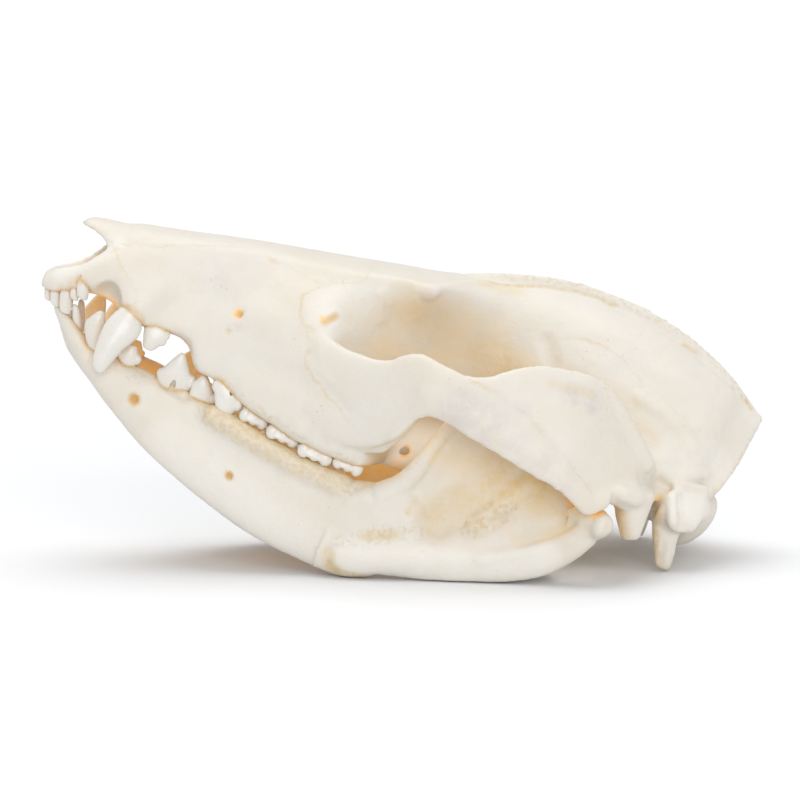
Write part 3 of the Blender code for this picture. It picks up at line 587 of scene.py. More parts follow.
def makeGlowGroup():
    # painted glow: light that comes through a thin wall, as a share of the surface's own colour, given out
    # as emission
    tree, given, out = startGroup(
        "thinWallGlow",
        [("Tone", "Color", (0.8, 0.7, 0.5, 1)), ("Thin", "Float", 0.0), ("Glow", "Float", 0.2)],
        [("Color", "Color")])
    share = times(tree, given.outputs["Thin"], given.outputs["Glow"])
    tree.links.new(blend(tree, share, (0, 0, 0, 1), given.outputs["Tone"]), out.inputs["Color"])
    return tree


grainGroup = makeGrainGroup()
stainAndPaintedLightGroup = makeStainGroup()
glowGroup = makeGlowGroup()


def useGroup(tree, group, **inputs):
    return addNode(tree, "Group", {"node_tree": group}, **inputs)


def startFinish(name, surface, finish):
    # what both finishes start with: the settings that don't change over the surface, and the dry grain
    material, tree, shader = startMaterial(name, surface)
    material.cycles.emission_sampling = "NONE"
    place = addNode(tree, "TexCoord").outputs["Object"]
    grain = useGroup(tree, grainGroup, Place=place, Light=finish["light"], Warm=finish["warm"],
                     Pores=finish["pores"])
    return material, shader, place, grain.outputs


def layStains(tree, place, tone, stains):
    # lays each stain and each painted light or shade over the one before, and gives back the last
    for name, (stainAndPaintedLight, breakUp, scale) in stains.items():
        laid = useGroup(tree, stainAndPaintedLightGroup, Place=place, Base=tone, Stain=stainAndPaintedLight, Mask=layer(tree, name),
                        Break=breakUp, Scale=scale).outputs
        tone = laid["Color"]
    return laid


def endFinish(tree, shader, finish, grain, tone, thin, height):
    # what both finishes end with: their colour, glow, roughness and bump
    tree.links.new(tone, shader.inputs["Base Color"])
    glow = useGroup(tree, glowGroup, Tone=tone, Thin=thin, Glow=finish["glow"])
    tree.links.new(glow.outputs["Color"], shader.inputs["Emission Color"])
    tree.links.new(reckon(tree, "ADD", grain["Roughness"], finish["roughness"]), shader.inputs["Roughness"])
    bump = addNode(tree, "Bump", None, Strength=finish["bump"], Distance=finish["bumpDistance"],
                   Height=height)
    tree.links.new(bump.outputs["Normal"], shader.inputs["Normal"])


# hollow and deep are painted-shade tones, laid where the shelter layer lies within hollowFrom and deepFrom;
# glow sets the strength of the painted glow
boneFinish = dict(light=(0.69, 0.66, 0.60, 1), warm=(0.675, 0.62, 0.53, 1), hollow=(0.76, 0.635, 0.45, 1),
                  deep=(0.93, 0.60, 0.25, 1), crust=(0.70, 0.53, 0.30, 1), seam=(0.66, 0.53, 0.34, 1),
                  hollowFrom=(0.12, 0.6), deepFrom=(0.6, 0.95), seamDepth=0.35, pitDepth=2.4,
                  pores=0.5, roughness=0.5, bump=0.4, bumpDistance=0.00025, glow=0.2)
boneStains = {
    # tone, how much a cloud breaks it up, and the cloud's scale
    # painted light: the first tone lightens the places it is laid on, standing in for light falling there
    "paintedLight": ((0.76, 0.735, 0.68, 1), 0.15, 300.0),
    "bruise": ((0.58, 0.53, 0.525, 1), 0.9, 330.0),
    # painted warm glow, for the light in gaps, openings and the mouth's inner side; its mask also drives
    # the emission
    "paintedWarmGlow": ((0.90, 0.50, 0.14, 1), 0.25, 300.0),
    # partly a real brown stain, partly painted shade in hollows, fossae and pits
    "tanStainAndShade": ((0.65, 0.485, 0.22, 1), 0.6, 420.0),
    "ochre": ((0.56, 0.36, 0.11, 1), 0.7, 900.0),
    "gum": ((0.60, 0.37, 0.13, 1), 0.6, 800.0),
    # painted shade in openings and small pits
    "holeShade": ((0.64, 0.38, 0.11, 1), 0.2, 900.0),
}
boneSurface = {"Emission Strength": 1.0, "Specular IOR Level": 0.35, "Subsurface Weight": 0.15,
               "Subsurface Radius": (1.0, 0.6, 0.3), "Subsurface Scale": 0.002}


def makeBone():
    material, shader, place, grain = startFinish("dryBone", boneSurface, boneFinish)
    tree = material.node_tree
    hidden = layer(tree, "shelter")
    tone = grain["Color"]
    # painted shade and warm light: sheltered places turn to the darker, warmer hollow tone and the most
    # sheltered to a deep orange, standing in for the light that bounces round and through the bone there
    for shade in ("hollow", "deep"):
        tone = blend(tree, spread(tree, hidden, *boneFinish[shade + "From"]), tone, boneFinish[shade])
    tone = layStains(tree, place, tone, boneStains)["Color"]
    # the seams between the bones wander a little, and fade in places
    wander = times(tree, reckon(tree, "SUBTRACT", cloud(tree, place, 560.0, 5.0, 0.75), 0.5), 2.6)
    across = reckon(tree, "ABSOLUTE", reckon(tree, "ADD", layer(tree, "seam"), wander))
    line = times(tree, spread(tree, across, 0.05, 0.42, 1.0, 0.0),
                 spread(tree, layer(tree, "seamShow"), 0.35, 0.7))
    faint = spread(tree, cloud(tree, place, 170.0, 2.0), 0.4, 0.68, 0.0, 0.6)
    tone = blend(tree, times(tree, line, faint), tone, boneFinish["seam"])
    # pitted, stained patches
    pits = spread(tree, cloud(tree, place, 1250.0, 4.0, 0.7), 0.5, 0.66)
    pitted = times(tree, pits, layer(tree, "crust"))
    tone = blend(tree, times(tree, pitted, 0.75), tone, boneFinish["crust"])
    # painted glow: light that comes through thin walls, in the most sheltered places and where the
    # warm-glow and lit strokes lie
    thin = reckon(tree, "MAXIMUM", spread(tree, hidden, 0.6, 1.0, 0.0, 0.2), layer(tree, "paintedWarmGlow"))
    thin = reckon(tree, "MAXIMUM", thin, layer(tree, "lit"))
    height = reckon(tree, "SUBTRACT", grain["Height"], times(tree, line, boneFinish["seamDepth"]))
    height = reckon(tree, "SUBTRACT", height, times(tree, pitted, boneFinish["pitDepth"]))
    endFinish(tree, shader, boneFinish, grain, tone, thin, height)
    return material


enamelFinish = dict(light=(0.695, 0.68, 0.645, 1), warm=(0.67, 0.64, 0.58, 1), pores=0.1, roughness=0.3,
                    bump=0.12, bumpDistance=0.0002, glow=0.22)
enamelStains = {
    "neck": ((0.62, 0.40, 0.16, 1), 0.5, 700.0),
    # painted warm glow on the sides in shade
    "paintedWarmGlow": ((0.90, 0.56, 0.20, 1), 0.2, 300.0),
}
enamelSurface = {"Emission Strength": 1.0, "Specular IOR Level": 0.5, "Coat Weight": 0.15,
                 "Coat Roughness": 0.15, "Subsurface Weight": 0.12, "Subsurface Radius": (1.0, 0.7, 0.45),
                 "Subsurface Scale": 0.001}


def makeEnamel():
    material, shader, place, grain = startFinish("toothEnamel", enamelSurface, enamelFinish)
    tree = material.node_tree
    stained = layStains(tree, place, grain["Color"], enamelStains)
    # the enamel's painted glow follows the last layer's mask, the painted warm glow
    endFinish(tree, shader, enamelFinish, grain, stained["Color"], stained["Mask"], grain["Height"])
    return material


bone = makeBone()
enamel = makeEnamel()
print("stage: finishes")

# The cranium

cranium = dict(voxel=0.48, smoothing=2, nasalThickness=1, nasalSteps=20,
               unevenness=((7, 0.12), (1.7, 0.05)), crestUnevenness=(0.9, 0.07))

craniumSections = [
    # distance from the snout's tip, lean, then half an outline from the top middle round to the palate
    (-0.8, 0, [(0, 6.1), (1.2, 6), (2, 5.6), (2.5, 5), (2.6, 4.5),
        (2.3, 3.9), (1.7, 3.5), (0.8, 3.5), (0, 3.6)]),
    (1.2, 0, [(0, 8), (2, 7.9), (3.4, 7.4), (4.2, 6.4), (4.4, 5.2),
        (4.2, 4), (3.2, 3.5), (1.6, 3.7), (0, 3.8)]),
    (4, 0, [(0, 10.8), (2.6, 10.6), (4.6, 9.8), (5.8, 8.4), (6.1, 6.8),
        (5.7, 5.5), (4.3, 4.6), (2.1, 4.5), (0, 4.6)]),
    (7, 0, [(0, 15), (3.4, 14.7), (5.6, 13.2), (7.2, 11.2), (7.7, 9.2),
        (7.1, 7.3), (5.2, 5.9), (2.7, 5.5), (0, 5.5)]),
    (10, 0, [(0, 18.7), (4.2, 18), (6.6, 15.8), (8.6, 13), (9.4, 10.4),
        (9, 7.8), (6.8, 6.1), (3.4, 5.8), (0, 5.8)]),
    (14.5, 0, [(0, 19.9), (5, 19.1), (7.6, 17), (9.8, 13.4), (11.4, 9.4),
        (11.8, 6), (9.4, 4.8), (4.7, 4.8), (0, 5)]),
    (19, 0, [(0, 21), (5.8, 20.2), (8, 18), (9.6, 14.6), (10.6, 10),
        (11, 5.4), (8.8, 4.2), (4.4, 4.5), (0, 4.8)]),
    (22.5, 0, [(0, 21.9), (6.3, 21.1), (8.5, 18.8), (10.1, 15.2), (11.1, 10.4),
        (11.6, 6.6), (9.6, 5), (4.7, 4.6), (0, 4.5)]),
    (25, 0, [(0, 22.5), (6.6, 21.7), (8.8, 19.4), (10.4, 15.6), (11.4, 10.6),
        (11.9, 6.2), (10.2, 4.5), (4.9, 3.9), (0, 4)]),
    (27.6, 0, [(0, 23.1), (6.9, 22.3), (9.1, 20), (10.9, 16.3), (12.3, 11),
        (12.8, 3.8), (11.3, 1.2), (5.4, 2.6), (0, 3)]),
    (31, 0, [(0, 23.9), (7.4, 23.1), (9.6, 20.8), (11.6, 17.2), (13.4, 11.8),
        (13.8, 3.4), (12, 0.7), (6, 1.7), (0, 2.1)]),
    (37, 0, [(0, 25.2), (8.4, 24.3), (10.8, 22), (13.6, 18.6), (15.9, 12.6),
        (15.9, 2.8), (14.2, -1.2), (7, 0.4), (0, 0.8)]),
    (42.5, 0, [(0, 26.3), (9.4, 25.3), (12, 22.8), (15.8, 18.8), (18.2, 12.8),
        (18, 2.8), (16.2, -2.3), (8, -0.8), (0, -0.2)]),
    (45.5, 0, [(0, 26.9), (9.9, 25.9), (12.4, 23.5), (15.2, 19.2), (18.2, 14),
        (19.2, 3.6), (17.2, -2.9), (8.5, -1.2), (0, -0.6)]),
    (49, 0, [(0, 27.7), (10.4, 26.6), (12, 24.4), (13.2, 18.8), (16.8, 12.2),
        (19.4, 4), (18, -3.2), (8.8, -1.4), (0, -1)]),
    (54, 0, [(0, 28.8), (11, 27.8), (12.1, 26), (10.8, 18.8), (14.4, 8.6),
        (19.2, 2.6), (18.8, -3.2), (9, -1.7), (0, -1.3)]),
    (58.5, 0, [(0, 29.7), (11.4, 28.4), (12.7, 26.6), (9.3, 19), (11.6, 7),
        (17.6, 1.2), (18.2, -2.8), (9, -1.9), (0, -1.5)]),
    (62.5, 0, [(0, 30.7), (8.8, 29.5), (10.4, 27.3), (8, 19), (8.6, 7.6),
        (11, 1.8), (10.4, -1.3), (6, -1.5), (0, -1.3)]),
    (67, 0, [(0, 31.6), (4.6, 30.6), (7.6, 27.6), (6.6, 19), (6.2, 10.5),
        (6.2, 6.5), (5.4, 4.6), (2.8, 4.6), (0, 4.8)]),
    (73, 0, [(0, 32.9), (2.6, 32.1), (5.6, 28.2), (6.4, 20), (6, 12.5),
        (5.6, 8.5), (4.6, 6.6), (2.3, 6.4), (0, 6.4)]),
    (80, 0, [(0, 34.6), (3.2, 33.8), (7.4, 30), (10.4, 21.5), (9.8, 13.5),
        (7.6, 9), (5.4, 6.8), (2.7, 6.2), (0, 6.2)]),
    (88, 0, [(0, 35.2), (4.2, 34.3), (9.6, 30.8), (13.8, 22.4), (14, 13.8),
        (11, 8.4), (7.2, 6), (3.6, 5.4), (0, 5.4)]),
    (96, 0.05, [(0, 34.5), (4.8, 33.6), (10.6, 30), (15.2, 21.8), (16.4, 13.6),
        (13, 8), (8, 5.4), (4, 5), (0, 5)]),
    (103, 0.12, [(0, 32.6), (5.2, 31.6), (11.2, 28), (15.6, 20.8), (16.8, 13.4),
        (14, 7.8), (8.4, 5.2), (4.2, 5), (0, 5)]),
    (108.5, 0.22, [(0, 30.4), (5.2, 29.2), (10.8, 25.2), (14.8, 18.8), (16.2, 12.4),
        (13.6, 8), (8.6, 5.6), (4.3, 5.4), (0, 5.4)]),
    (111.5, 0.30, [(0, 28.4), (4.6, 26.9), (9.2, 22.8), (12.4, 17.6), (13.8, 12.6),
        (12.2, 9.2), (7.8, 7), (3.8, 6.8), (0, 6.8)]),
    (115.6, 0.34, [(0, 27.4), (3.6, 25.4), (7.4, 21.2), (10.4, 16.8), (12.2, 12.4),
        (11, 9.4), (7.4, 7.4), (3.7, 7), (0, 7)]),
]


def addBraincaseAndSnout(bm):
    flat = []
    for distance, lean, half in craniumSections:
        whole = half + [(-y, z) for y, z in reversed(half[1:-1])]
        flat.append([distance, lean] + list(closedRun(whole, 5).ravel()))
    rings = []
    for row in smoothRun(flat, 6):
        outline = row[2:].reshape(-1, 2)
        rings.append([(row[0] + row[1] * (z - 15), y, z) for y, z in outline])
    loft(bm, rings)


def addNasalBones(bm):
    stations = [
        # distance, half width, height of the ridge, height of the side edges
        (1.7, 1.2, 15.5, 15.1), (2.6, 2.8, 16.9, 15.6), (4.2, 4, 17.5, 15.4),
        (6.6, 5.4, 18, 14.8), (9, 6, 18.4, 14.4), (13, 6.4, 19.3, 15)]
    steps, thin = cranium["nasalSteps"], cranium["nasalThickness"]
    arch = [math.pi * step / steps - math.pi / 2 for step in range(steps + 1)]
    rings = []
    for distance, half, ridge, edge in smoothRun(stations, 6):
        ring = [(distance, half * math.sin(turn), edge + (ridge - edge) * math.cos(turn)) for turn in arch]
        ring += [(distance, (half - thin) * math.sin(turn),
                  edge - 0.2 + (ridge - edge - thin) * math.cos(turn)) for turn in reversed(arch)]
        rings.append(ring)
    loft(bm, rings)


def addCheekArch(bm):
    bothSides(bm, strapRings([
        ((40.5, 14.5, 16.5), (43, 15.5, 1), 3.5),
        ((44.3, 17.9, 15), (47.5, 17.7, -0.6), 4),
        ((49.2, 21.6, 14.4), (52.6, 19.4, -0.8), 3.8),
        ((54.4, 25.6, 15.3), (57, 21, 0.2), 3.4),
        ((58.6, 28, 18.2), (60.6, 24, 3.4), 3.2),
        ((62.2, 29.6, 18.2), (62.6, 28.2, 8.8), 3),
        ((66, 30.5, 18.1), (66.2, 30, 9.9), 2.8),
        ((70, 31, 19.4), (70.4, 31.5, 9.5), 2.8),
        ((75, 29.6, 22.9), (76, 32.5, 8.6), 2.6),
        ((80, 28, 24.6), (81.8, 33.5, 7.7), 2.5),
        ((86, 25.6, 25.2), (87.2, 34, 6.9), 2.5),
        ((91, 22.4, 23.4), (91.4, 33, 5.6), 2.7),
        ((95.5, 19.6, 20.6), (96, 29.6, 7.2), 3),
        ((99, 17.6, 17.6), (100, 26.4, 6.9), 3.8),
        ((101.5, 13.5, 15.5), (102.4, 19, 7.6), 4.4),
        ((102, 9, 14.5), (103, 12, 7.6), 4.4)]))
    # the corner below the eye where the chewing muscle starts
    bothSides(bm, strapRings([
        ((53, 21.4, 6), (54.6, 19.4, -0.9), 2.4), ((57.6, 22.6, 6), (58.6, 19.8, -0.1), 2.2),
        ((60.4, 23.6, 7.6), (60.6, 20.2, 0.9), 1.6), ((63.4, 25.4, 9.4), (62.4, 21.8, 4.8), 1.2)]))
    # the cheek bone's hind tip, in front of the jaw joint
    bothSides(bm, strapRings([
        ((86, 33.4, 10), (86.5, 33.7, 7), 2.2),
        ((90, 32.9, 9), (90.2, 33, 5.4), 2.2),
        ((92.6, 32, 8.4), (92.9, 32.1, 4.3), 2.2),
        ((95.2, 30.6, 9.6), (95.6, 30.6, 6.6), 2.6)]))


def addJawJointRoof(bm):
    # the roof over the jaw's roller, and the process behind it
    lump(bm, (97.4, 23, 9.4), (5.4, 7.8, 2.4))
    bothSides(bm, strapRings([
        ((100.2, 18.6, 11), (100.2, 27, 10), 6.6),
        ((100.9, 20, 7), (101, 27, 6.8), 5.4),
        ((101.8, 21.6, 4.4), (101.8, 26.2, 4.4), 4),
        ((102.4, 22.6, 2.6), (102.4, 25.2, 2.6), 2.9)]))


def addSkullBase(bm):
    # the broad bone behind the ear
    lump(bm, (107.6, 16, 9.6), (3.6, 2.8, 3.8))
    lump(bm, (112.6, 14.6, 10.2), (2.2, 1.7, 2.6), 18)
    lump(bm, (104.7, 15.8, 9), (2.2, 2.2, 2.6))
    bothSides(bm, strapRings([
        ((105.6, 17, 12.8), (112.9, 14.8, 14.6), 2.6),
        ((106.3, 18.2, 10), (113.4, 15.4, 11.4), 3),
        ((107.6, 18.5, 7.2), (113.3, 16, 8.6), 2.9),
        ((108.7, 18, 5.5), (112.7, 16.4, 6.5), 2.2)], corner=0.65))
    # the process that points down behind the ear
    bothSides(bm, strapRings([
        ((105.7, 15.6, 7.2), (111.4, 14, 7.4), 3.4),
        ((106.7, 16.2, 4.2), (111.2, 15.4, 4.4), 2.7),
        ((108.2, 16.5, 1.2), (111.6, 16.2, 1.6), 2.2),
        ((109.2, 16.7, -0.9), (111.7, 16.5, -0.7), 1.9)], corner=0.7))
    lump(bm, (113.6, 6.6, 7.6), (3.2, 3.1, 5.6), 24)     # condyle beside the neck opening
    lump(bm, (103, 14, 14.5), (4.6, 4, 5.2))
    lump(bm, (108, 4.5, 7), (6, 4, 2.4))
    lump(bm, (92.5, 9.6, 6.4), (4.6, 3.2, 2.9))          # the swollen wall in front of the ear
    # wing-like plates below the hind end of the nose passage
    bothSides(bm, strapRings([
        ((60, 7.4, 8), (60.2, 8.6, -2), 2.2),
        ((65, 6.8, 8.4), (65.4, 8, -2.9), 1.9),
        ((70, 6.2, 9.2), (70.8, 6.8, -1.6), 1.7),
        ((78, 6.6, 9.8), (78, 6.8, 4.8), 1.8)]))
    # the thick hind rim of the palate
    loft(bm, tubeRings([((61.6, -10, -1.1), 1.4), ((63, -5, -1.4), 1.5), ((63.3, 0, -1.4), 1.6),
                        ((63, 5, -1.4), 1.5), ((61.6, 10, -1.1), 1.4)]))


def addCrests(bm):
    # the middle crest
    loft(bm, strapRings([
        ((63.5, 0, 31.2), (63.5, 0, 28), 2.4),
        ((68, 0, 33), (68, 0, 29), 2.2),
        ((73, 0, 34.9), (73, 0, 30), 2),
        ((80, 0, 36.7), (80, 0, 31.5), 1.9),
        ((88, 0, 37.3), (88, 0, 32), 1.9),
        ((96, 0, 36.9), (96, 0, 31.5), 1.9),
        ((104, 0, 35.2), (104, 0, 30), 2.1),
        ((111.5, 0, 32.2), (110.5, 0, 27), 2.4),
        ((118.2, 0, 28.2), (115, 0, 23.5), 2.8)]))
    # the ridge round the back of the head, down to behind the ear
    bothSides(bm, strapRings([
        ((119.3, -1, 27.2), (112, -1, 26), 2.2),
        ((118.9, 3.8, 24.6), (111, 3, 24), 1.7),
        ((117.8, 8, 20.8), (109.5, 6.5, 20.5), 1.5),
        ((116.3, 11.4, 16.6), (108, 9.5, 16.5), 1.5),
        ((114.3, 13.6, 12.4), (106.5, 12, 12.5), 1.8),
        ((111.6, 14.6, 9), (105.5, 13.5, 9.5), 2.4)]))


def hollowCranium(piece):
    bm = bmesh.new()
    nose = [
        # distance, floor, roof, half width
        (-6, 7, 15, 5.4), (0, 7.2, 15.3, 4.6), (4, 7, 15.9, 4.9), (9, 7, 16.9, 5.4),
        (16, 7.6, 17.8, 5.4), (24, 9.6, 18.6, 4.6), (32, 12, 17, 2.4)]
    turns = turnsRound(24)
    loft(bm, [[(distance, half * math.cos(turn), (roof + floor) / 2 + (roof - floor) / 2 * math.sin(turn))
               for turn in turns] for distance, floor, roof, half in smoothRun(nose, 4)])
    # where the spine's cord leaves the braincase
    loft(bm, tubeRings([((122, 0, 8.6), 4), ((112, 0, 10.6), 3.9), ((103, 0, 13), 3.4)], 24))
    lump(bm, (9.8, 9.8, 5.5), (2.9, 4.7, 3.9))           # bay for the lower canine
    lump(bm, (10.2, 0, 4.3), (3, 6.4, 1.75), 0, oneSide)
    lump(bm, (64.7, 7.6, 0.8), (1.1, 2.4, 0.75), -20)    # gap beside the wing-like plate
    lump(bm, (8.6, 2.4, 4.6), (3.2, 1, 2.2))             # paired openings of the palate
    lump(bm, (42.5, 4.6, -0.8), (6.4, 2, 2.6))
    lump(bm, (55.5, 4.6, -1.6), (2.6, 1.4, 2.2))
    bothSides(bm, tubeRings([((28.6, 14.6, 13), 0.75), ((31.6, 12.6, 12.2), 0.7),
                             ((35, 11, 11.8), 0.6)], 12))    # opening for the cheek's nerve
    lump(bm, (100.6, 29.4, 10.7), (0.45, 1.6, 0.45))     # opening above the ear
    lump(bm, (106, 18.6, 11.9), (0.8, 2.2, 0.45), -25)
    lump(bm, (104.6, 15.6, 7.4), (1.7, 3.2, 2))          # the ear's own opening
    lump(bm, (105.2, 18.6, 8.4), (0.7, 3.4, 1.7), 15)    # the ear's cleft
    lump(bm, (44.6, 16.8, 17.4), (1.9, 1.6, 0.42), -52)  # tear duct
    cutAway(piece, bm)


craniumRelief = [
    # path, radius, height
    ([(15.5, 11, 7), (18.5, 10.2, 12)], 3.4, 0.5),     # over the canine's root
    ([(23, 11.2, 10), (26, 11.4, 13)], 5, -0.45),      # the hollow behind it
    ([(33, 13.6, 13.4), (37, 15.4, 13)], 4, 0.4),
    ([(58.6, 13, 26.9)], 2.2, 0.7),                    # bump over the eye
    ([(59.2, 13, 27.9), (62.1, 8, 29.8), (65, 4.2, 31), (68, 2.6, 31.8)], 1.4, 0.35),
    ([(51.3, 12.2, 23.9), (52.3, 11.6, 22.4), (53, 11.2, 20.2)], 1.6, 0.3),
    ([(90.5, 23, 22), (95.4, 22.6, 19.5), (99.1, 22, 16), (102.1, 20, 14)], 2, 0.7),
    ([(97, 15, 24.1), (101.7, 15.2, 23.3), (105.4, 15.8, 21.8), (107.9, 15.8, 19.8)], 2.2, 0.7),
    ([(79.5, 9.1, 26.4), (81.5, 11.5, 23.4)], 2.2, -0.5),     # crease above the arch's root
    ([(100, 24, 12.4), (104, 18.6, 12.8)], 2, -0.5),
    ([(62.7, 30.5, 12.8), (67.8, 32, 12.4), (74.8, 32.8, 12.4), (82.1, 33.6, 11)], 3, 0.35),
    ([(60.5, 25.4, 4), (63.6, 28.4, 8.7), (70.4, 31.6, 9.4), (78, 32.9, 8.2), (86, 33.8, 7)], 1.6, 0.4),
    ([(56.5, 26.8, 16.6), (59.6, 28.4, 18), (65.2, 30.4, 17.8)], 1.5, 0.25),
    ([(43, 18.4, 12.4), (46.8, 20.6, 8), (52, 22.6, 5)], 1.2, -0.12),
    ([(69.2, 32.1, 17.8), (78.6, 32.3, 15.7), (88.3, 33, 10.7)], 1.1, -0.18),
    ([(35, 16, 6), (44, 18.6, 6.4), (52, 20.6, 5.6)], 3.4, -0.35),
    ([(14, 9.6, 13.4), (23.6, 10.6, 13.4), (30.1, 12.2, 14.5)], 3.2, -0.2),
    ([(86, 14.2, 26.5), (94, 15.4, 25.6)], 5, 0.4),
    ([(88, 12, 30.5), (96, 12, 29.8)], 4, -0.25),
    ([(86, 24.4, 24.4), (91, 23.2, 22.2), (96, 22.4, 18.6), (100.6, 21.6, 15)], 2, 0.6),
    ([(90, 18.8, 25), (96, 18.2, 21.6), (101, 17.8, 17.6)], 2.6, -0.6),
    ([(104, 18.6, 13.6), (108, 16.6, 14.6), (112, 13.6, 16)], 1.9, 0.7),
    ([(104.6, 18.2, 12.2), (106, 18, 12)], 1.2, -0.9),
    ([(106.8, 18.6, 11.4), (107.4, 19.2, 9.4), (108.6, 19.2, 6.8)], 1.3, 0.5),
    ([(108.4, 18.6, 11.6), (109.3, 18.8, 9.2), (110.2, 18.4, 7)], 1, -0.8),
    ([(109.2, 17.6, 12.9), (111.6, 16.6, 13.2)], 1, -0.4),
    ([(109.6, 17.4, 3.8), (110.4, 17.4, 0.6)], 0.9, 0.35),
    ([(93, 13.6, 27.6), (99, 14, 27), (105, 13, 24.6)], 3.4, -0.45),
    ([(30.1, 13.4, 9.2)], 0.8, -0.35),
    ([(31.2, 13.8, 10)], 0.7, -0.3),
    ([(43.1, 18.5, 11.2)], 0.9, -0.2),
    ([(97.4, 30, 10)], 2, 0.3),
    ([(108.6, 18, 6), (109.6, 18, 0)], 1.4, -0.3),
    ([(77.6, 1.6, 35.4)], 0.7, -0.4),
]
# swellings over the roots of the upper back teeth, and dips between them
rootPlaces = [(33, 12.8, 2.2), (36, 14.4, 1.2), (38.4, 15.2, 0.4), (41, 16.2, -0.2), (43.6, 17.2, -0.8),
              (46.6, 18.2, -1.2), (49.4, 18.9, -1.6), (52.6, 19.3, -1.8), (55.2, 19.2, -1.8)]
swelling = dict(lean=0.3, length=3.6, radius=1.3, height=0.28)
dip = dict(low=0.4, high=2.6, radius=0.9, height=-0.2)
for x, y, z in rootPlaces:
    path = [(x, y, z), (x + swelling["lean"], y, z + swelling["length"])]
    craniumRelief.append((path, swelling["radius"], swelling["height"]))
for first, second in zip(rootPlaces[:-1], rootPlaces[1:]):
    x, y, z = [(a + b) / 2 for a, b in zip(first, second)]
    craniumRelief.append(([(x, y, z + dip["low"]), (x, y, z + dip["high"])], dip["radius"], dip["height"]))

craniumSeams = [
    [(7.2, 6.2, 15), (13.5, 7.2, 16.8), (21, 7.4, 19.9), (28.1, 7, 22.6), (30.6, 8, 22.6),
     (33.2, 9.4, 22.3), (36.4, 10.6, 22.1), (41.1, 12.4, 22), (44.8, 11.9, 22.9), (47.8, 11.5, 24.7),
     (48.5, 7.9, 26.9), (49.2, 3, 27.6), (49.6, 0, 27.7)],
    [(44.8, 11.9, 22.9), (42.6, 12.6, 22.3), (40.7, 13.6, 20.7), (39.2, 14.4, 19), (39.4, 15.4, 17.6),
     (40.2, 16.7, 15.5), (41.1, 17.2, 14.9), (42, 17.5, 14.9)],
    [(41.9, 18, 13.6), (43.3, 18.6, 9.4), (46.8, 20.4, 7), (50.6, 22, 4.9), (54.5, 22.6, 2.6)],
    [(65.2, 30.6, 17.9), (69.2, 32.1, 17.8), (73.8, 32.2, 16.9), (78.6, 32.3, 15.7), (83.5, 32.9, 13.3),
     (88.3, 33, 10.7), (91.8, 32.5, 8.6)],
    [(79.8, 10, 22.8), (80.6, 9.4, 26.2), (83.7, 9.5, 28.7), (87.8, 10.6, 29.2), (92.5, 11.9, 28.2),
     (95.8, 12.9, 26.4), (98.6, 14, 24.1), (106, 14.6, 19.5)],
    [(8, 5.6, 14.4), (9.6, 8.4, 12.6), (12, 10, 10.9), (13.7, 11.3, 9.3), (14.6, 12, 7.5)],
    [(2.4, 0, 17.2), (13, 0, 19.6), (30, 0, 23.7), (49, 0, 27.7)],
    [(51.3, 12.4, 24.4), (52.3, 11.6, 22.4), (53, 11.3, 20.2), (52.6, 11.6, 18), (52, 12.6, 16.6)],
]

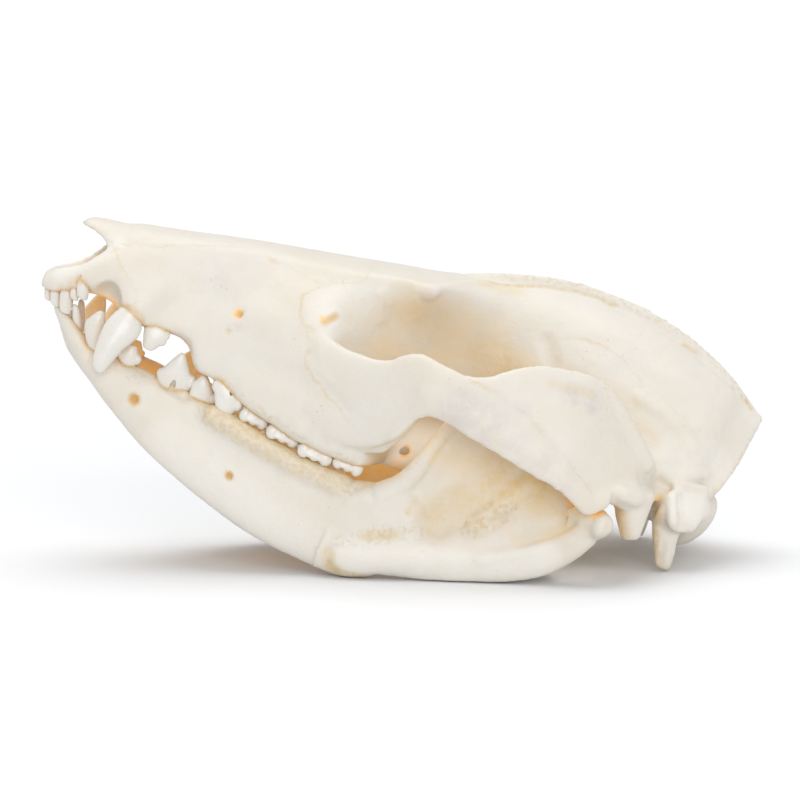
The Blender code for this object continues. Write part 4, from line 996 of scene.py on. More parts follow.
craniumTints = dict(
    # strokes for each stain and each painted light or shade: path, radius, strength
    # painted light: lightens the orbit's front, the brow, the wing-like plate, the joint's roof, the bone
    # behind the ear, the braincase's back and the snout's tip
    paintedLight=[([(44.6, 16, 18.6), (48, 13.6, 20.6)], 5, 0.9), ([(52, 12.4, 24.6), (58.6, 13, 26.6)], 2.6, 0.5),
          ([(61.6, 8.4, 0.6), (66, 7.6, 2.6), (71, 7.2, 3.6)], 4.6, 0.8),
          ([(98.6, 27, 9), (102, 25, 4.6)], 3, 0.5), ([(107.6, 19, 9.6), (111.6, 17, 9.6)], 4, 1),
          ([(2, 3.6, 7.6), (5, 5, 11), (8, 6, 14.5)], 2.6, 0.9), ([(106, 17, 17), (112, 12, 18)], 5, 0.5)],
    # painted glow on the wing-like plate
    lit=[([(61.6, 8, 0.6), (66, 7.6, 2.6), (71, 7.2, 3.6)], 4.4, 2.1)],
    # painted shade in the openings
    holeShade=[([(31, 12.9, 12.3)], 0.9, 0.75), ([(43.9, 17, 16.4), (45.4, 16.2, 18.4)], 0.9, 0.8),
          ([(64.7, 8.2, 0.8), (64.7, 5.4, 0.8)], 1.2, 1), ([(100.6, 29, 10.7)], 0.5, 0.8),
          ([(105.2, 18, 9.8), (105.5, 17.6, 7.4)], 0.9, 0.5)],
    ochre=[([(67.1, 2.6, 31.2), (69.4, 2.2, 31.9), (72, 1.7, 32.6), (74.7, 1.5, 33.6), (77, 1.4, 34.4),
             (79.5, 1.4, 35), (82, 1.2, 35.5), (84.6, 1.2, 35.8), (86.7, 1.2, 35.9)], 0.5, 0.7),
           ([(86.7, 1.2, 35.7), (88.2, 1.4, 35.6), (89.2, 1.3, 35.8)], 0.6, 0.8),
           ([(77.7, 1.2, 35.3)], 0.4, 0.9),
           ([(102.3, 1.3, 33.8), (105.1, 1.2, 33.4)], 0.6, 0.5),
           ([(112.8, 1.6, 30)], 0.7, 0.5), ([(115.1, 1.1, 29.2), (116.8, 1, 28.1)], 0.8, 0.6)],
    # partly real stain along the crest and the tooth rows, partly painted shade in the orbit, the temple's
    # hollow and small openings
    tanStainAndShade=[([(66.4, 3.4, 30.8), (69.4, 3.2, 31.2), (73, 2.6, 32.2)], 1.6, 0.35),
         ([(55.9, 11.4, 24.6), (58.2, 10.8, 23.3), (61.1, 8.9, 21.1)], 5, 0.3),
         ([(48, 11, 17), (54, 9.4, 15)], 6, 0.22),
         ([(72.3, 6.3, 20.4), (75.2, 7.4, 19.4)], 5, 0.45),
         ([(30.6, 12.9, 12.4)], 1, 0.9), ([(30.1, 13.3, 9.2)], 0.7, 0.5), ([(43.1, 18.5, 11.2)], 0.8, 0.35),
         ([(80.1, 30.1, 21.8), (83.1, 29.2, 22.2), (87, 27.6, 22.5)], 1.2, 0.3),
         ([(43.4, 17.2, 17)], 0.9, 0.7),
         ([(98.6, 26.4, 6.6), (101, 25.4, 3)], 1.6, 0.6),
         ([(105, 18.6, 11), (105.6, 18.4, 8.6), (106.6, 17.4, 6.2)], 1.1, 0.8),
         ([(108.8, 18.4, 8.6), (109.6, 18, 6.4)], 0.8, 0.6),
         ([(107, 16.6, 4), (109.3, 16.8, -0.6), (111.6, 16.6, -0.6)], 1.1, 0.6),
         ([(8.6, 6.4, 13.9)], 0.9, 0.5),
         ([(12.4, 11.6, 6.6), (14, 12, 6.8), (15.7, 12, 6.3), (16.9, 11.6, 5.6)], 0.5, 0.6),
         ([(17.4, 10.6, 4.6), (19.4, 10.6, 4.7)], 0.5, 0.5),
         ([(20, 11, 4.6), (23.5, 11.3, 5.2), (24.8, 11.4, 4.9), (25.9, 11.6, 3.6), (27.4, 12, 1.4)],
          0.5, 0.4),
         ([(32, 13.2, 1.6), (38, 14.6, -1.2), (46, 17, -2), (56, 18, -2.6)], 0.9, 0.35)],
    # painted warm glow in openings and gaps
    paintedWarmGlow=[([(7, 5.2, 5), (10, 5.4, 5.2), (12.6, 6.4, 5.2)], 1.9, 0.8),
          ([(30.6, 12.9, 12.4)], 1.1, 0.8),
          ([(64.7, 7.6, 0.8)], 1.7, 1), ([(105.6, 18.2, 11.9)], 0.9, 0.8),
          ([(104.6, 18.4, 9.4), (105.4, 17.6, 7)], 1, 0.7),
          ([(99.4, 25.6, 7), (100.6, 24.6, 3.6)], 1.1, 0.6), ([(43.4, 17.2, 17)], 0.9, 0.6),
          ([(62, 8.6, -1.6), (66, 8, -2.4)], 1.4, 0.5)],
    crust=[([(68, 0, 32.6), (84, 0, 36.9), (104, 0, 35), (116.5, 0, 29)], 1.4, 0.7),
           ([(118.9, 3.8, 24.6), (117.4, 8.6, 20), (114.3, 13.8, 12.4)], 1.3, 0.5),
           ([(33, 13.4, 1.2), (44, 17.2, -1.6), (56, 19.4, -2.2)], 1.2, 0.6),
           ([(20, 11, 4.8), (24.8, 11.4, 5), (27.4, 12, 1.6)], 0.9, 0.5),
           ([(106.6, 17.4, 5), (108.4, 17.2, 1.6)], 1.4, 0.6)],
    bruise=[([(68, 31.8, 13.4), (73, 32.6, 12.4)], 5, 0.7), ([(77, 33, 12), (86, 33.6, 9)], 4.6, 0.4),
            ([(77.1, 32.1, 16.6)], 2, 0.4), ([(84.1, 29.3, 21.4), (87.1, 28.2, 21.2)], 2.6, 0.9),
            ([(57.8, 12.6, 26.4), (59.2, 13, 27.6)], 1.6, 0.5),
            ([(24.4, 9.4, 18), (30.6, 9.9, 20)], 4.4, 0.25)])


def makeCranium():
    bm = bmesh.new()
    for add in (addBraincaseAndSnout, addNasalBones, addCheekArch, addJawJointRoof, addSkullBase,
                addCrests):
        add(bm)
    piece = newPiece("craniumBone", bm)
    fuse(piece, cranium["voxel"], cranium["smoothing"])
    hollowCranium(piece)
    fuse(piece, cranium["voxel"], 1)
    carve(piece, craniumRelief)
    for size, height in cranium["unevenness"]:
        roughen(piece, size, height)
    roughen(piece, *cranium["crestUnevenness"], [(118, 0, 27), (104, 0, 35), (80, 0, 36.5)], 2.5)
    drawSeams(piece, craniumSeams)
    for name, strokes in craniumTints.items():
        tint(piece, name, strokes)
    piece.data.transform(toTable)
    return piece


craniumPiece = makeCranium()
print("stage: cranium,", len(craniumPiece.data.polygons), "faces")

# The lower jaw, made on the right and mirrored

jaw = dict(voxel=0.42, smoothing=2, unevenness=((6, 0.1), (1.6, 0.05)), patchUnevenness=(0.9, 0.22),
           sides=28, sideCorner=0.8, topCorner=0.85, rollerSides=20, chinHalfGap=0.16,
           hinge=(95.7, 3.7), rightDroopDegrees=0.9, chinDepth=8, chinShift=0.2, chinShelter=0.25,
           chinReach=0.0009, chinEnd=-0.042, tableEase=0.0005)     # the last three in metres


def jawBodyRings():
    stations = [
        # distance, middle's y, half thickness, top, bottom
        (2.5, 1.1, 0.8, 2, 1.4), (3.3, 1.6, 1.4, 1.9, 0.3), (4.7, 2.2, 2, 1.5, -1.3),
        (6.5, 3.1, 2.8, 0.5, -3.3), (9, 4, 3.8, -0.9, -5.2),
        (12, 5, 4.4, -2, -7.3), (16.5, 6.2, 4, -2, -10.1), (22, 7.8, 3.4, -2.4, -13.2),
        (28, 9.3, 3.1, -2.8, -15.8), (34, 10.8, 3.1, -3.6, -17.7), (40, 12.3, 3.2, -4.7, -19.4),
        (47, 13.8, 3.3, -5.4, -20.8), (54, 15, 3.4, -5.8, -21.3), (59, 16.8, 3.5, -5.2, -21.1),
        (63, 18.6, 3.3, -4, -20.2), (68, 20.4, 2.8, -3.4, -17.7), (72, 21.4, 2, -6, -15.6)]
    rings = []
    for distance, middle, half, top, bottom in smoothRun(stations, 6):
        rings.append([(distance, middle + half * power(math.cos(turn), jaw["sideCorner"]),
                       (top + bottom) / 2 + (top - bottom) / 2 * power(math.sin(turn), jaw["topCorner"]))
                      for turn in turnsRound(jaw["sides"])])
    return rings


# the upright plate leans outward, backwards and upwards, from one place on its middle
plate = dict(distance=62, y=19.4, height=-5, outwardBack=0.17, outwardUp=0.05)


def plateMiddle(distance, height):
    return (plate["y"] + plate["outwardBack"] * (distance - plate["distance"])
            + plate["outwardUp"] * (height - plate["height"]))


def uprightPlateRings():
    stations = [
        # height, front edge, hind edge, thickness
        (-15, 62, 68, 2), (-10, 62.5, 76, 2.4), (-5, 63.6, 84, 2.4), (-1, 65.6, 93, 2.4),
        (1.8, 66.6, 94.2, 2.2), (4.2, 67.2, 92.6, 2), (5.6, 67.5, 90, 2), (8, 68, 88.4, 1.8),
        (13, 70.2, 86.2, 1.7), (17, 72.8, 84, 1.6), (19.6, 76.5, 81.6, 1.2)]
    rings = []
    for height, front, hind, thick in smoothRun(stations, 5):
        ring = []
        for turn in turnsRound(jaw["sides"]):
            distance = (front + hind) / 2 + (hind - front) / 2 * power(math.cos(turn), jaw["sideCorner"])
            ring.append((distance, plateMiddle(distance, height) + thick / 2 * math.sin(turn), height))
        rings.append(ring)
    return rings


def jawRollerRings():
    x, z = jaw["hinge"]
    # y, half length along the jaw, half height
    stations = [(20.4, 0.5, 0.6), (21, 1.2, 1.4), (23, 1.5, 1.9), (27, 1.6, 2.2),
                (30, 1.5, 2.3), (31.6, 1.25, 1.9), (32.6, 0.8, 1.2), (33, 0.3, 0.45)]
    turns = turnsRound(jaw["rollerSides"])
    return [[(x + across * math.cos(turn), y, z + tall * math.sin(turn)) for turn in turns]
            for y, across, tall in smoothRun(stations, 2)]


jawRelief = [
    ([(33, 12.8, -4.8), (40, 14.4, -6), (48, 16.2, -6.8), (56, 17.6, -7.2)], 2.7, 2),
    ([(23.8, 10.6, -2.6), (27.6, 11.6, -3.2)], 1.7, -0.9),
    # the chewing muscle's hollow, the shelf below it and the thick rim round both
    ([(72, 23.6, -6), (74.4, 24, -2.6), (76, 24.4, 0.8), (78.2, 24.8, 4.6)], 4.6, -1.2),
    ([(75.6, 24, -3.6), (78, 24.2, 0.2), (79.6, 24.4, 2.8), (81.8, 24.6, 6.2)], 1.5, -0.55),
    ([(73, 23, 8), (80, 24.6, 10)], 5.5, -0.4),
    ([(77.8, 24.4, -4.4), (80.2, 24.8, -1), (82.2, 25.2, 2.2), (84.6, 25.6, 5.6)], 2.3, 1.15),
    ([(85.6, 26.4, -2.6), (88.6, 27.2, 0.2), (91, 27.6, 2.6)], 3.4, -1.1),
    ([(70, 23.4, -8.8), (76, 24.4, -7.4), (82, 25.6, -5.4)], 2.8, -0.3),
    ([(58.9, 21, -15.3), (64.3, 22.3, -12.3), (70.5, 22.9, -9), (74.4, 23.4, -7.2), (76.7, 24, -4.8)],
     1.5, 0.2),
    ([(60.4, 20.8, -17), (67, 23.2, -14.2), (74, 24.6, -11.6), (82, 26.4, -8.6), (89, 28.2, -5)],
     3.6, 0.5),
    ([(80.6, 26.6, -8.8), (87.4, 28, -4.4), (91.3, 28.8, -1.2), (94.1, 29.2, 2.2)], 1.7, 0.5),
    ([(58.4, 20, -17.4), (59.6, 19.8, -20)], 1.8, -0.25),
    ([(66.9, 21, -18.4)], 1.8, -0.3),
    ([(69.3, 21.8, 3.9), (69.2, 21.7, 1.7), (68.4, 21.5, -2.5), (67.5, 22.1, -6.4)], 1.9, -0.14),
    ([(66.9, 21.6, 1), (65.6, 21.2, -3.4), (62.4, 20.4, -7.4)], 2.8, 0.2),
    ([(20.1, 10.9, -7.1)], 1, -1.9),
    ([(38.9, 15.2, -12.6)], 0.8, -1.1),
    ([(64.6, 22.4, -11.9)], 0.7, -0.35),
    ([(66, 22.8, -12.3)], 0.6, -0.3),
    ([(8.6, 5.6, -2.8)], 0.7, -0.4),
    ([(34.8, 14.1, -10.7)], 0.6, -0.25),
    ([(24, 12, -6), (44, 15.6, -9)], 4, -0.3),
    ([(30, 8, -9), (46, 12, -10.5), (60, 15, -9)], 2.2, 0.3),
]
jawTints = dict(
    # painted light: lightens the jaw's lower rim and lower edge
    paintedLight=[([(62, 21, -17), (70, 23.4, -14), (80, 26, -10), (89, 28.6, -5)], 4.4, 0.9),
          ([(28, 12, -12), (44, 15.4, -16), (55, 17.6, -18)], 5, 0.6)],
    # painted shade in the small openings on the jaw's side
    holeShade=[([(20.2, 10.6, -7.2), (20.2, 8.2, -7.2)], 1.35, 1),
          ([(39, 14.8, -12.6), (39, 12.6, -12.6)], 1.1, 1)],
    # painted glow in the small openings on the jaw's side
    lit=[([(20.2, 8.8, -7.2)], 1.7, 1), ([(39, 13.4, -12.6)], 1.4, 0.8)],
    # partly real stain along the tooth row, partly painted shade in the chewing muscle's hollow and the
    # small openings
    tanStainAndShade=[([(69.3, 22.6, 3.9), (69.2, 22.5, 1.7), (68.3, 22.3, -2.5), (67.5, 22.6, -6.4)], 1, 0.6),
         ([(20.1, 11, -7.1)], 1, 1), ([(38.9, 15.2, -12.6)], 0.8, 0.7),
         ([(77.5, 24.4, -4.9), (81.9, 25.2, -0.4)], 2.6, 0.4),
         ([(62, 21.9, -12.9), (67.1, 22.9, -10.6)], 1.2, 0.5),
         ([(58.4, 20.4, -17.8), (59.4, 20, -19.8), (62.2, 20.6, -20.6), (65, 21, -19.6)], 1.7, 0.75),
         ([(79, 24.4, 6), (84.5, 25, 5.4)], 6.4, 0.8),
         ([(72, 23.6, -5), (77, 24.4, 0.6), (81, 24.8, 4.6)], 4.4, 0.8),
         ([(72, 22.6, 4), (75, 23.4, 9)], 5, 0.4),
         ([(91, 28, 2.4), (93, 28.6, 3.6)], 3, 0.35),
         ([(33, 13.4, -4.4), (44, 15.8, -6), (56, 18.2, -6.8)], 2.4, 0.7),
         ([(22, 10.6, -3.2), (30, 12.2, -3.8)], 0.8, 0.4),
         ([(13.6, 9.2, -2.2), (16, 9.8, -2.4), (18.6, 10.2, -2.6)], 1, 0.5),
         ([(8.9, 6.6, -1.8), (10.2, 7.6, -2.4)], 0.7, 0.6)])
# painted warm glow: the jaw's faces that look into the mouth, in shade, are given a golden glow
jawInside = [([(8.8, 2.8, -1.6), (12, 3.2, -3.2)], 2.8, 1),
             ([(17, 3.8, -4.2), (24, 5.6, -5), (34, 8, -6), (46, 10.4, -7), (58, 14, -8),
               (66, 18.6, -6), (72, 20, 0)], 7, 1)]
jawCrust = [([(77.5, 23.8, -4.9), (81.9, 24.5, -0.4)], 2.6, 1),
            ([(59.6, 20.4, -19.6), (61.6, 20, -20.6), (64, 20.4, -19.8)], 1.7, 0.9),
            ([(58.9, 21, -15.3), (64.3, 22.3, -12.3), (70.5, 22.9, -9)], 1.5, 0.6),
            ([(64, 22.4, -11.4), (68.6, 22.8, -9.8)], 1.6, 0.7),
            ([(13.6, 9, -2.6), (19.4, 10, -3.4)], 1.6, 0.7),
            ([(5.6, 3.6, -1.6), (8.8, 6.2, -2.6), (11.6, 8.6, -3.8)], 1.3, 0.5),
            ([(32, 13, -4.6), (44, 15.4, -6.2), (57, 18, -7)], 2.6, 1)]


def makeRightJaw():
    bm = bmesh.new()
    loft(bm, jawBodyRings())
    # the lower rim of the muscle's hollow, back to below the roller, and what carries the roller
    loft(bm, strapRings([
        ((57, 18.2, -13), (57, 17.2, -21.2), 5), ((63, 20.4, -13), (62.6, 19, -20.5), 5),
        ((69, 21.8, -10.5), (68.6, 21.2, -17.6), 4.4), ((74.5, 22.2, -6.8), (74.8, 23, -15.7), 3.8),
        ((80, 22.6, -2.6), (80.3, 24.8, -13.5), 3.6), ((85, 23.4, 0), (85.5, 26.4, -11.1), 3.6),
        ((89.5, 25, 3), (90.3, 27.8, -8.1), 3.6), ((93.4, 27, 4.6), (94.4, 28.8, -3.5), 3.5),
        ((95.4, 27.6, 4.8), (96.6, 29, 0.6), 3.2)], corner=1))
    loft(bm, tubeRings([((93, 27.8, 1.6), 1.7), ((95.2, 28.9, 2.6), 1.9), ((95.9, 30.4, 3.8), 2.1),
                        ((95.9, 32, 3.9), 1.6)]))
    loft(bm, uprightPlateRings())
    # the plate's thick front edge
    loft(bm, tubeRings([((58.6, 17.8, -9.4), 2.2), ((62.4, 19.2, -6.2), 2.2), ((65.2, 20.2, -2.6), 1.75),
                        ((66.7, 20.8, 1.6), 1.5), ((67.7, 21.3, 6), 1.25), ((69.3, 21.7, 10.4), 1.1),
                        ((71.8, 22.2, 14.6), 1)]))
    loft(bm, jawRollerRings())
    # the inturned angle
    loft(bm, strapRings([
        ((75, 22, -15.6), (75.5, 18.6, -14.6), 2), ((80.5, 24, -13.2), (80, 17.4, -12.6), 2),
        ((85.5, 25.4, -10.4), (85, 16.2, -10.2), 2), ((89.5, 26.4, -7.2), (89, 16, -7.6), 2),
        ((92, 26.6, -4.6), (91.6, 17.6, -5.4), 1.8)]))
    loft(bm, tubeRings([((90.4, 26.8, 2.6), 1.6), ((92.6, 27.8, 3.4), 1.9), ((94.8, 29.4, 3.9), 2)]))
    piece = newPiece("rightJawBone", bm)
    fuse(piece, jaw["voxel"], jaw["smoothing"])
    carve(piece, jawRelief, oneSide)
    for size, height in jaw["unevenness"]:
        roughen(piece, size, height)
    roughen(piece, *jaw["patchUnevenness"], [(77.5, 23.8, -4.9), (81.9, 24.5, -0.4)], 3)
    trim(piece, (0, jaw["chinHalfGap"], 0), (0, -1, 0))
    for name, strokes in jawTints.items():
        tint(piece, name, strokes, oneSide)
    # painted warm glow on the inner side
    tint(piece, "paintedWarmGlow", jawInside, oneSide, True)
    tint(piece, "crust", jawCrust, oneSide)
    writeLayer(piece.data, "seamShow", np.zeros(len(piece.data.vertices)))
    return piece


def openChin(piece):
    # painted shade held back: where the two halves meet at the chin the bone is kept light, though each
    # half hides the other
    places = readPlaces(piece.data)
    hidden = readLayer(piece.data, "shelter")
    meeting = (np.abs(places[:, 1]) < jaw["chinReach"]) & (places[:, 0] < jaw["chinEnd"])
    writeLayer(piece.data, "shelter", np.where(meeting, np.minimum(hidden, jaw["chinShelter"]), hidden))


def mirrorPiece(piece, name):
    bm = bmesh.new()
    bm.from_mesh(piece.data)
    bmesh.ops.transform(bm, matrix=Matrix.Diagonal((1, -1, 1, 1)), verts=bm.verts)
    bmesh.ops.reverse_faces(bm, faces=bm.faces)
    return newPiece(name, bm)


def droop():
    x, z = jaw["hinge"]
    hinge = Matrix.Translation((x, 0, z))
    return hinge @ Matrix.Rotation(math.radians(-jaw["rightDroopDegrees"]), 4, "Y") @ hinge.inverted()


def settleRight(piece):
    # the right half droops a little, but its chin stays behind the left one's
    piece.data.transform(droop())
    places = readPlaces(piece.data)
    places[:, 0] += np.maximum(jaw["chinDepth"] - places[:, 0], 0) * jaw["chinShift"]
    writePlaces(piece.data, places)


def layDown(piece):
    # nothing goes below the table: the lowest parts are eased up to rest on it
    piece.data.transform(toTable)
    places = readPlaces(piece.data)
    ease = jaw["tableEase"]
    low = places[:, 2] < ease
    places[low, 2] = ease * np.exp(places[low, 2] / ease - 1)
    writePlaces(piece.data, places)


# on the right the rim stands higher between the canine and the second premolar
farRim = [([(15.6, 7.6, -1.8), (19, 8.2, -2.2), (23, 9, -2.8)], 2.6, 1.4)]
rightJaw = makeRightJaw()
leftJaw = mirrorPiece(rightJaw, "leftJawBone")
carve(rightJaw, farRim, oneSide)
settleRight(rightJaw)
layDown(leftJaw)
layDown(rightJaw)
print("stage: lower jaw,", len(leftJaw.data.polygons), "faces a side")

bones = {"cranium": craniumPiece, "left_mandible": leftJaw, "right_mandible": rightJaw}
boneTree = meshTree(bones.values())
for node, piece in bones.items():
    findShelter(piece, boneTree)
    openChin(piece)
    finishPiece(piece, bone, "bone", node)
print("stage: hollows found")

# Teeth: each is a stack of rings from the root's tip to the crown's tip, with its cusps added

teethShape = dict(voxel=0.15, molarVoxel=0.18, sides=24, smoothing=1, slope=-0.35,
                  # the next line sets the painted warm glow on the teeth's sides that look into the mouth
                  innerPaintedGlow=0.85, paintedGlowSlope=1.5, paintedGlowStart=0.1, incisorShare=0.25, lowerMolarGold=0.7,
                  gumBand=0.9, neckLine=0.00035, gumLine=0.0008)   # the two lines in metres
wear = dict(start=(22.9, -3.1), slope=1.47, top=2.3, left=0.12)
rightGrowth = {
    # on the right these stand taller: height, width, shift along the jaw
    "lower_canine": (1.42, 1.12, -0.5),
    "lower_incisor_4": (1.38, 1.1, 0.6),
    "lower_premolar_1": (1.15, 1.3, 0.6),
    "lower_premolar_2": (1.34, 1, 0.9),
}


def ringOf(level, sides):
    x, y, z, halfLength, halfWidth, corner, slope = level
    ring = []
    for turn in turnsRound(sides):
        across = halfWidth * power(math.sin(turn), corner)
        ring.append((x + halfLength * power(math.cos(turn), corner), y + across, z + slope * across))
    return ring


def toothRings(levels, steps=5):
    # a level is (x, y, z, half length, half width, corner, slope of the rim); without the last
    # two, or the last one, it is round and level
    whole = [(*level, *(1, 0)[len(level) - 5:]) for level in levels]
    return [ringOf(level, teethShape["sides"]) for level in smoothRun(whole, steps)]


# the way along an incisor, the edge's part in its half length, and shares of half length and width
incisorRoot = (0, 0.6, 0.6)
incisorCrown = [(0, 0, 0.92, 0.9), (0.35, 0.35, 1.05, 1), (0.8, 1, 1.02, 0.8), (0.96, 1, 0.75, 0.45),
                (1, 1, 0.4, 0.2)]


def incisor(neck, edge, y, halfNeck, halfEdge, halfWidth, root=0.8):
    # a peg from its neck to a rounded cutting edge; neck and edge are (x, z)
    neck, edge = np.array([neck[0], y, neck[1]]), np.array([edge[0], y, edge[1]])
    levels = []
    for way, part, long, wide in [(-root, *incisorRoot)] + incisorCrown:
        half = halfNeck * (1 - part) + halfEdge * part
        levels.append((*(neck + (edge - neck) * way), half * long, halfWidth * wide))
    return levels


frontTeeth = {
    "upper_incisor_1": incisor((0.6, 3.8), (1.3, 1.7), 1.3, 0.66, 0.6, 0.66),
    "upper_incisor_2": incisor((1.8, 4.2), (2.8, 1.4), 2.8, 0.9, 0.84, 0.62),
    "upper_incisor_3": incisor((3.6, 4.55), (4.7, 1.05), 4.15, 1.1, 1.02, 0.62),
    "upper_incisor_4": incisor((4.75, 5.2), (5.3, 3.8), 5.3, 0.74, 0.7, 0.5),
    "upper_incisor_5": incisor((5.75, 6.6), (6.45, 4.5), 6.25, 1.1, 0.9, 0.62),
    "upper_canine": [
        (16.6, 9.7, 10.5, 1.4, 0.9), (14.6, 10.6, 5.7, 2.2, 1.45), (14.35, 11, 4.1, 2.75, 1.6),
        (14.15, 11.3, 2.8, 2.95, 1.6), (13.75, 11.6, 1.3, 2.65, 1.5),
        (13.3, 11.9, -0.2, 2.2, 1.35), (13.05, 12.2, -2, 1.8, 1.15),
        (12.95, 12.5, -3.6, 1.35, 0.9), (13.05, 12.65, -4.5, 0.88, 0.6),
        (13.2, 12.7, -4.9, 0.35, 0.25)],
    "upper_premolar_1": [
        (19.6, 9.9, 6.2, 1.6, 0.6), (19.7, 10.3, 4.5, 2.15, 0.75, 0.9), (19.55, 10.4, 3.6, 1.95, 0.85),
        (19.4, 10.5, 2.7, 1.5, 0.8), (19.45, 10.5, 1.9, 1.05, 0.6), (19.4, 10.5, 1.2, 0.5, 0.3)],
    "upper_premolar_3": [
        (33.8, 12, 3.6, 2, 0.8), (33.9, 12.7, 0.8, 2.7, 1.05, 0.9), (34.1, 12.9, -0.6, 2.5, 1.15),
        (34.25, 13, -2.2, 1.95, 1.1), (34.4, 13.2, -3.6, 1.35, 0.85),
        (34.8, 13.3, -4.5, 0.7, 0.5), (34.95, 13.3, -4.85, 0.3, 0.2)],
    "lower_incisor_1": incisor((4, 0.3), (2.9, 2.1), 0.82, 0.66, 0.62, 0.5, 0.32),
    "lower_incisor_2": incisor((4.8, 0.2), (3.8, 2.1), 1.9, 0.68, 0.64, 0.52, 0.32),
    "lower_incisor_3": incisor((5.9, -0.2), (4.9, 2.1), 3, 0.72, 0.66, 0.54, 0.32),
    "lower_incisor_4": incisor((8, -1.4), (5.75, 3.1), 4, 0.85, 0.72, 0.62, 0.3),
    "lower_canine": [
        (13.2, 5.6, -6.6, 0.9, 0.8), (11.2, 6.9, -2.2, 1.35, 1.2), (10.45, 7.3, -0.4, 1.6, 1.25),
        (10.15, 7.4, 0.9, 1.65, 1.2), (10, 7.55, 2.2, 1.45, 1), (10.05, 7.7, 3.3, 0.95, 0.7),
        (10.15, 7.75, 4.1, 0.4, 0.3)],
    "lower_premolar_1": [
        (17.3, 7.6, -4.4, 0.8, 0.6), (17, 8.1, -2, 1.5, 0.9), (16.9, 8.2, -0.6, 1.45, 0.9),
        (16.9, 8.3, 0.8, 0.7, 0.45)],
    "lower_premolar_2": [
        (25.2, 8.6, -5.6, 1.9, 0.7), (25.3, 9.2, -2.6, 3, 1, 0.9), (25.3, 9.4, -1.3, 2.9, 1),
        (25.1, 9.5, 0.3, 1.9, 0.85), (24.95, 9.6, 1.7, 1.05, 0.62), (24.9, 9.65, 2.7, 0.38, 0.25)],
    "lower_premolar_3": [
        (30.8, 9.6, -5.8, 1.6, 0.7), (30.4, 10.1, -3.2, 2.2, 0.95, 0.9), (30.1, 10.3, -1.7, 1.9, 0.9),
        (29.7, 10.4, -0.4, 1.15, 0.7), (29.4, 10.4, 0.6, 0.4, 0.28)],
}
upperMolars = [
    # x middle, y middle, gum, buccal tip, half length, half width
    (39.3, 12.5, -1.7, -4, 2.6, 2.3), (44.6, 14.2, -2.5, -4.7, 3, 2.5),
    (50.4, 15.8, -3, -5.4, 3.12, 2.6), (56, 16.3, -2.8, -5, 2.7, 2.3)]
lowerMolars = [
    # x middle, y middle, gum, top, half length, half width
    (37, 11, -4.5, -3.1, 2.1, 1.35), (42.2, 11.9, -5, -3.45, 2.35, 1.45),
    (47.9, 13, -5.5, -3.95, 2.5, 1.5), (53.9, 13.9, -5.8, -4.3, 2.6, 1.5)]


# along and across the crown as shares of its half sizes, width, and the upper ones' height
upperCusps = [(-0.6, 0.64, 0.36, 1.25), (0.02, 0.68, 0.34, 1.1), (0.6, 0.62, 0.38, 1.35),
              (-0.35, 0.1, 0.26, 1.2), (0.35, 0.1, 0.26, 1.15), (-0.05, -0.66, 0.36, 1.1)]
lowerCusps = [(-0.75, 0.1, 0.22), (-0.3, 0.6, 0.26), (-0.3, -0.6, 0.26), (0.45, 0.6, 0.26),
              (0.55, -0.55, 0.24)]


def addUpperMolar(bm, x, y, gum, tip, halfLength, halfWidth):
    # two outer roots and an inner one, a broad crown, and its cusps along the outer edge
    slope = teethShape["slope"]
    inner = tip - slope * halfWidth
    for rootX, rootY in ((-0.48, 0.4), (0.48, 0.4), (0, -0.5)):
        loft(bm, toothRings([
            (x + rootX * halfLength, y + rootY * halfWidth, gum + 3, 0.5, 0.5),
            (x + rootX * halfLength, y + rootY * halfWidth, gum, halfLength * 0.42, halfWidth * 0.4),
            (x + rootX * halfLength * 0.9, y + rootY * halfWidth, gum - 0.9,
             halfLength * 0.46, halfWidth * 0.44)], 3))
    loft(bm, toothRings([
        (x, y, gum + 0.3, halfLength * 0.8, halfWidth * 0.8, 0.8, 0),
        (x, y, gum - 0.5, halfLength * 0.97, halfWidth * 0.98, 0.75, slope / 2),
        (x, y, inner + 0.9, halfLength * 1.02, halfWidth, 0.75, slope),
        (x, y, inner + 0.45, halfLength * 0.86, halfWidth * 0.84, 0.8, slope)], 3))
    for along, out, wide, tall in upperCusps:
        rim = tip - slope * (halfWidth - out * halfWidth)
        lump(bm, (x + along * halfLength, y + out * halfWidth, rim + 1.1),
             (wide * halfLength, 0.32 * halfWidth, tall), 0, oneSide)


def addLowerMolar(bm, x, y, gum, top, halfLength, halfWidth):
    # a root in front and one behind, a narrower crown, and its cusps
    slope = teethShape["slope"]
    for rootX in (-0.5, 0.5):
        loft(bm, toothRings([
            (x + rootX * halfLength, y, gum - 3, 0.5, 0.5),
            (x + rootX * halfLength, y, gum, halfLength * 0.4, halfWidth * 0.7),
            (x + rootX * halfLength * 0.9, y, gum + 0.6, halfLength * 0.48, halfWidth * 0.8)], 3))
    loft(bm, toothRings([
        (x, y, gum + 0.1, halfLength * 0.8, halfWidth * 0.76, 0.8, 0),
        (x, y, gum + 0.6, halfLength * 0.98, halfWidth * 0.98, 0.75, slope / 2),
        (x, y, top - 0.5, halfLength * 0.94, halfWidth * 0.9, 0.75, slope)], 3))
    for along, out, wide in lowerCusps:
        middle = (x + along * halfLength, y + out * halfWidth, top + slope * out * halfWidth - 0.8)
        lump(bm, middle, (wide * halfLength, 0.32 * halfWidth, 0.95), 0, oneSide)


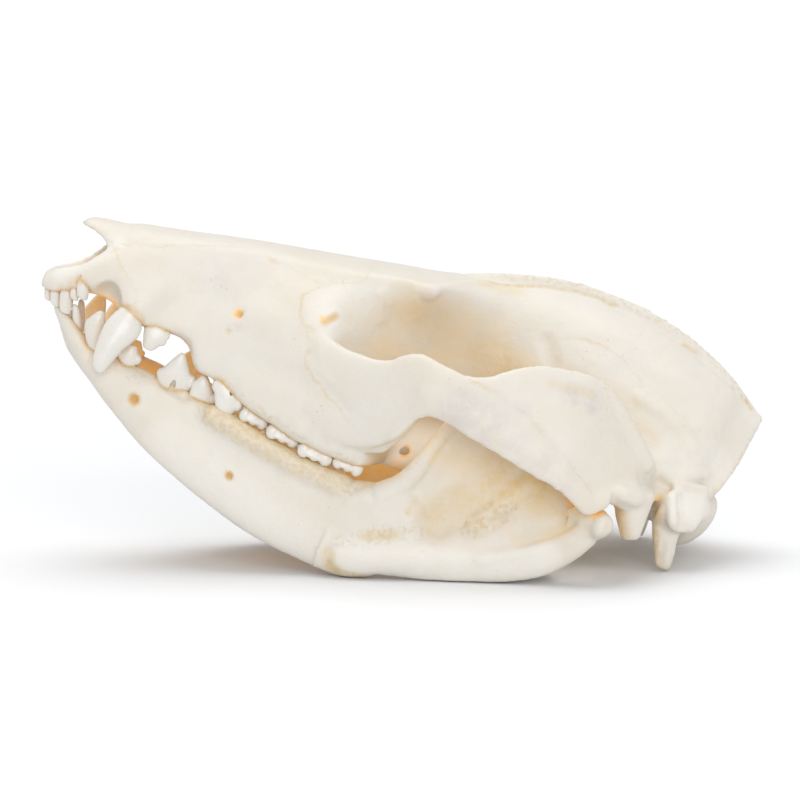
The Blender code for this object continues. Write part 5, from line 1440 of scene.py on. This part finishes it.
extraCusps = {
    # tooth: lumps of (place, radii, lean)
    "upper_premolar_1": [((18.9, 10.4, 2.6), (0.9, 0.9, 1.4), 0),
                         ((20.9, 10.4, 3.2), (0.8, 0.6, 0.7), -34)],
    "upper_premolar_3": [((36, 13.3, -1.3), (0.85, 0.9, 1.35), -8),
                         ((31.9, 12.7, 0.2), (0.9, 0.8, 1.2), 0)],
    "lower_canine": [((9.2, 7.3, 1), (0.9, 0.8, 1.5), -18)],
    "lower_premolar_1": [((18.3, 8.2, -1.2), (0.8, 0.7, 0.9), 0), ((15.6, 8.1, -1.3), (0.6, 0.7, 0.8), 0)],
    "lower_premolar_2": [((27.7, 9.6, -1.3), (0.9, 0.85, 1.2), 0), ((22.9, 9.2, -1.7), (0.9, 0.7, 1), -20)],
    "lower_premolar_3": [((32.3, 10.4, -2.4), (0.8, 0.75, 1), 0), ((28.7, 10.2, -1.4), (0.7, 0.7, 1), 0)],
}
forks = {
    # gaps between two roots, seen where the bone has drawn back: place and radii
    "lower_premolar_2": ((25.2, 10.2, -3.3), (0.5, 1, 1.5)),
    "upper_premolar_3": ((34.4, 13.8, 0.5), (0.4, 1, 1)),
}


def makeTooth(tooth):
    bm = bmesh.new()
    row, rest = tooth.split("_", 1)
    voxel = teethShape["voxel"]
    if rest.startswith("molar"):
        sizes = (upperMolars if row == "upper" else lowerMolars)[int(rest[-1]) - 1]
        (addUpperMolar if row == "upper" else addLowerMolar)(bm, *sizes)
        gum, voxel = sizes[2], teethShape["molarVoxel"]
    else:
        levels = frontTeeth[tooth]
        loft(bm, toothRings(levels))
        for middle, radii, lean in extraCusps.get(tooth, []):
            lump(bm, middle, radii, lean, oneSide)
        gum = levels[1][2]
    piece = newPiece(tooth, bm)
    fuse(piece, voxel, teethShape["smoothing"])
    if tooth in forks:
        bm = bmesh.new()
        lump(bm, *forks[tooth], 0, oneSide)
        cutAway(piece, bm)
    # painted warm glow: the side that looks into the mouth, which lies in shade, is given a golden glow,
    # and so is much of a lower molar
    inward = -readPlaces(piece.data, "normal")[:, 1]
    inner = np.clip(inward * teethShape["paintedGlowSlope"] - teethShape["paintedGlowStart"], 0, 1)
    least = teethShape["lowerMolarGold"] if tooth.startswith("lower_molar") else 0
    if tooth.startswith("lower_incisor"):
        inner *= teethShape["incisorShare"]
    writeLayer(piece.data, "paintedWarmGlow", np.maximum(inner * teethShape["innerPaintedGlow"], least))
    writeLayer(piece.data, "atGum", np.abs(readPlaces(piece.data)[:, 2] - gum) < teethShape["gumBand"])
    return piece


def stainNeck(piece, tree):
    # a stained line where the tooth leaves the bone
    reach = teethShape["neckLine"]
    near = [tree.find_nearest(vert.co, reach)[3] for vert in piece.data.vertices]
    writeLayer(piece.data, "neck", [0 if away is None else 1 - away / reach for away in near])


def stainGums(piece, places):
    # and the same on the bone, round each tooth
    tree = KDTree(len(places))
    for index, place in enumerate(places):
        tree.insert(place, index)
    tree.balance()
    reach = teethShape["gumLine"]
    away = np.array([tree.find(vert.co)[2] for vert in piece.data.vertices])
    writeLayer(piece.data, "gum", np.clip(1 - away / reach, 0, 1))


def growTaller(piece, tooth):
    tall, wide, shift = rightGrowth[tooth]
    places = readPlaces(piece.data)
    neckX, neckZ = frontTeeth[tooth][1][0], frontTeeth[tooth][1][2]
    above = np.clip((places[:, 2] - neckZ) / 2, 0, 1)
    places[:, 0] += above * ((places[:, 0] - neckX) * (wide - 1) + shift)
    places[:, 2] += np.maximum(places[:, 2] - neckZ, 0) * (tall - 1)
    writePlaces(piece.data, places)


def wearDown(piece):
    # worn down to a slant in front
    places = readPlaces(piece.data)
    startX, startZ = wear["start"]
    worn = np.clip(startZ + wear["slope"] * (places[:, 0] - startX), startZ, wear["top"])
    over = places[:, 2] - worn
    places[:, 2] = np.where(over > 0, worn + over * wear["left"], places[:, 2])
    writePlaces(piece.data, places)


toothNames = list(frontTeeth)
toothNames += [f"{row}_molar_{number}" for row in ("upper", "lower") for number in (1, 2, 3, 4)]
toothFaces = 0
toothPlaces = []
for tooth in toothNames:
    right = makeTooth(tooth)
    left = mirrorPiece(right, tooth + "_left_piece")
    if tooth in rightGrowth:
        growTaller(right, tooth)
    if tooth == "lower_premolar_2":
        wearDown(right)
    if tooth.startswith("lower"):
        settleRight(right)
    row, rest = tooth.split("_", 1)
    for piece, side in ((right, "right"), (left, "left")):
        piece.name = f"{row}_{side}_{rest}_enamel"
        piece.data.transform(toTable)
        stainNeck(piece, boneTree)
        finishPiece(piece, enamel, "enamel", f"{row}_{side}_{rest}")
        toothFaces += len(piece.data.polygons)
        atGum = readLayer(piece.data, "atGum") > 0.5
        toothPlaces += [tuple(place) for place in readPlaces(piece.data)[atGum][::2]]
for piece in bones.values():
    stainGums(piece, toothPlaces)
print("stage: teeth,", toothFaces, "faces")
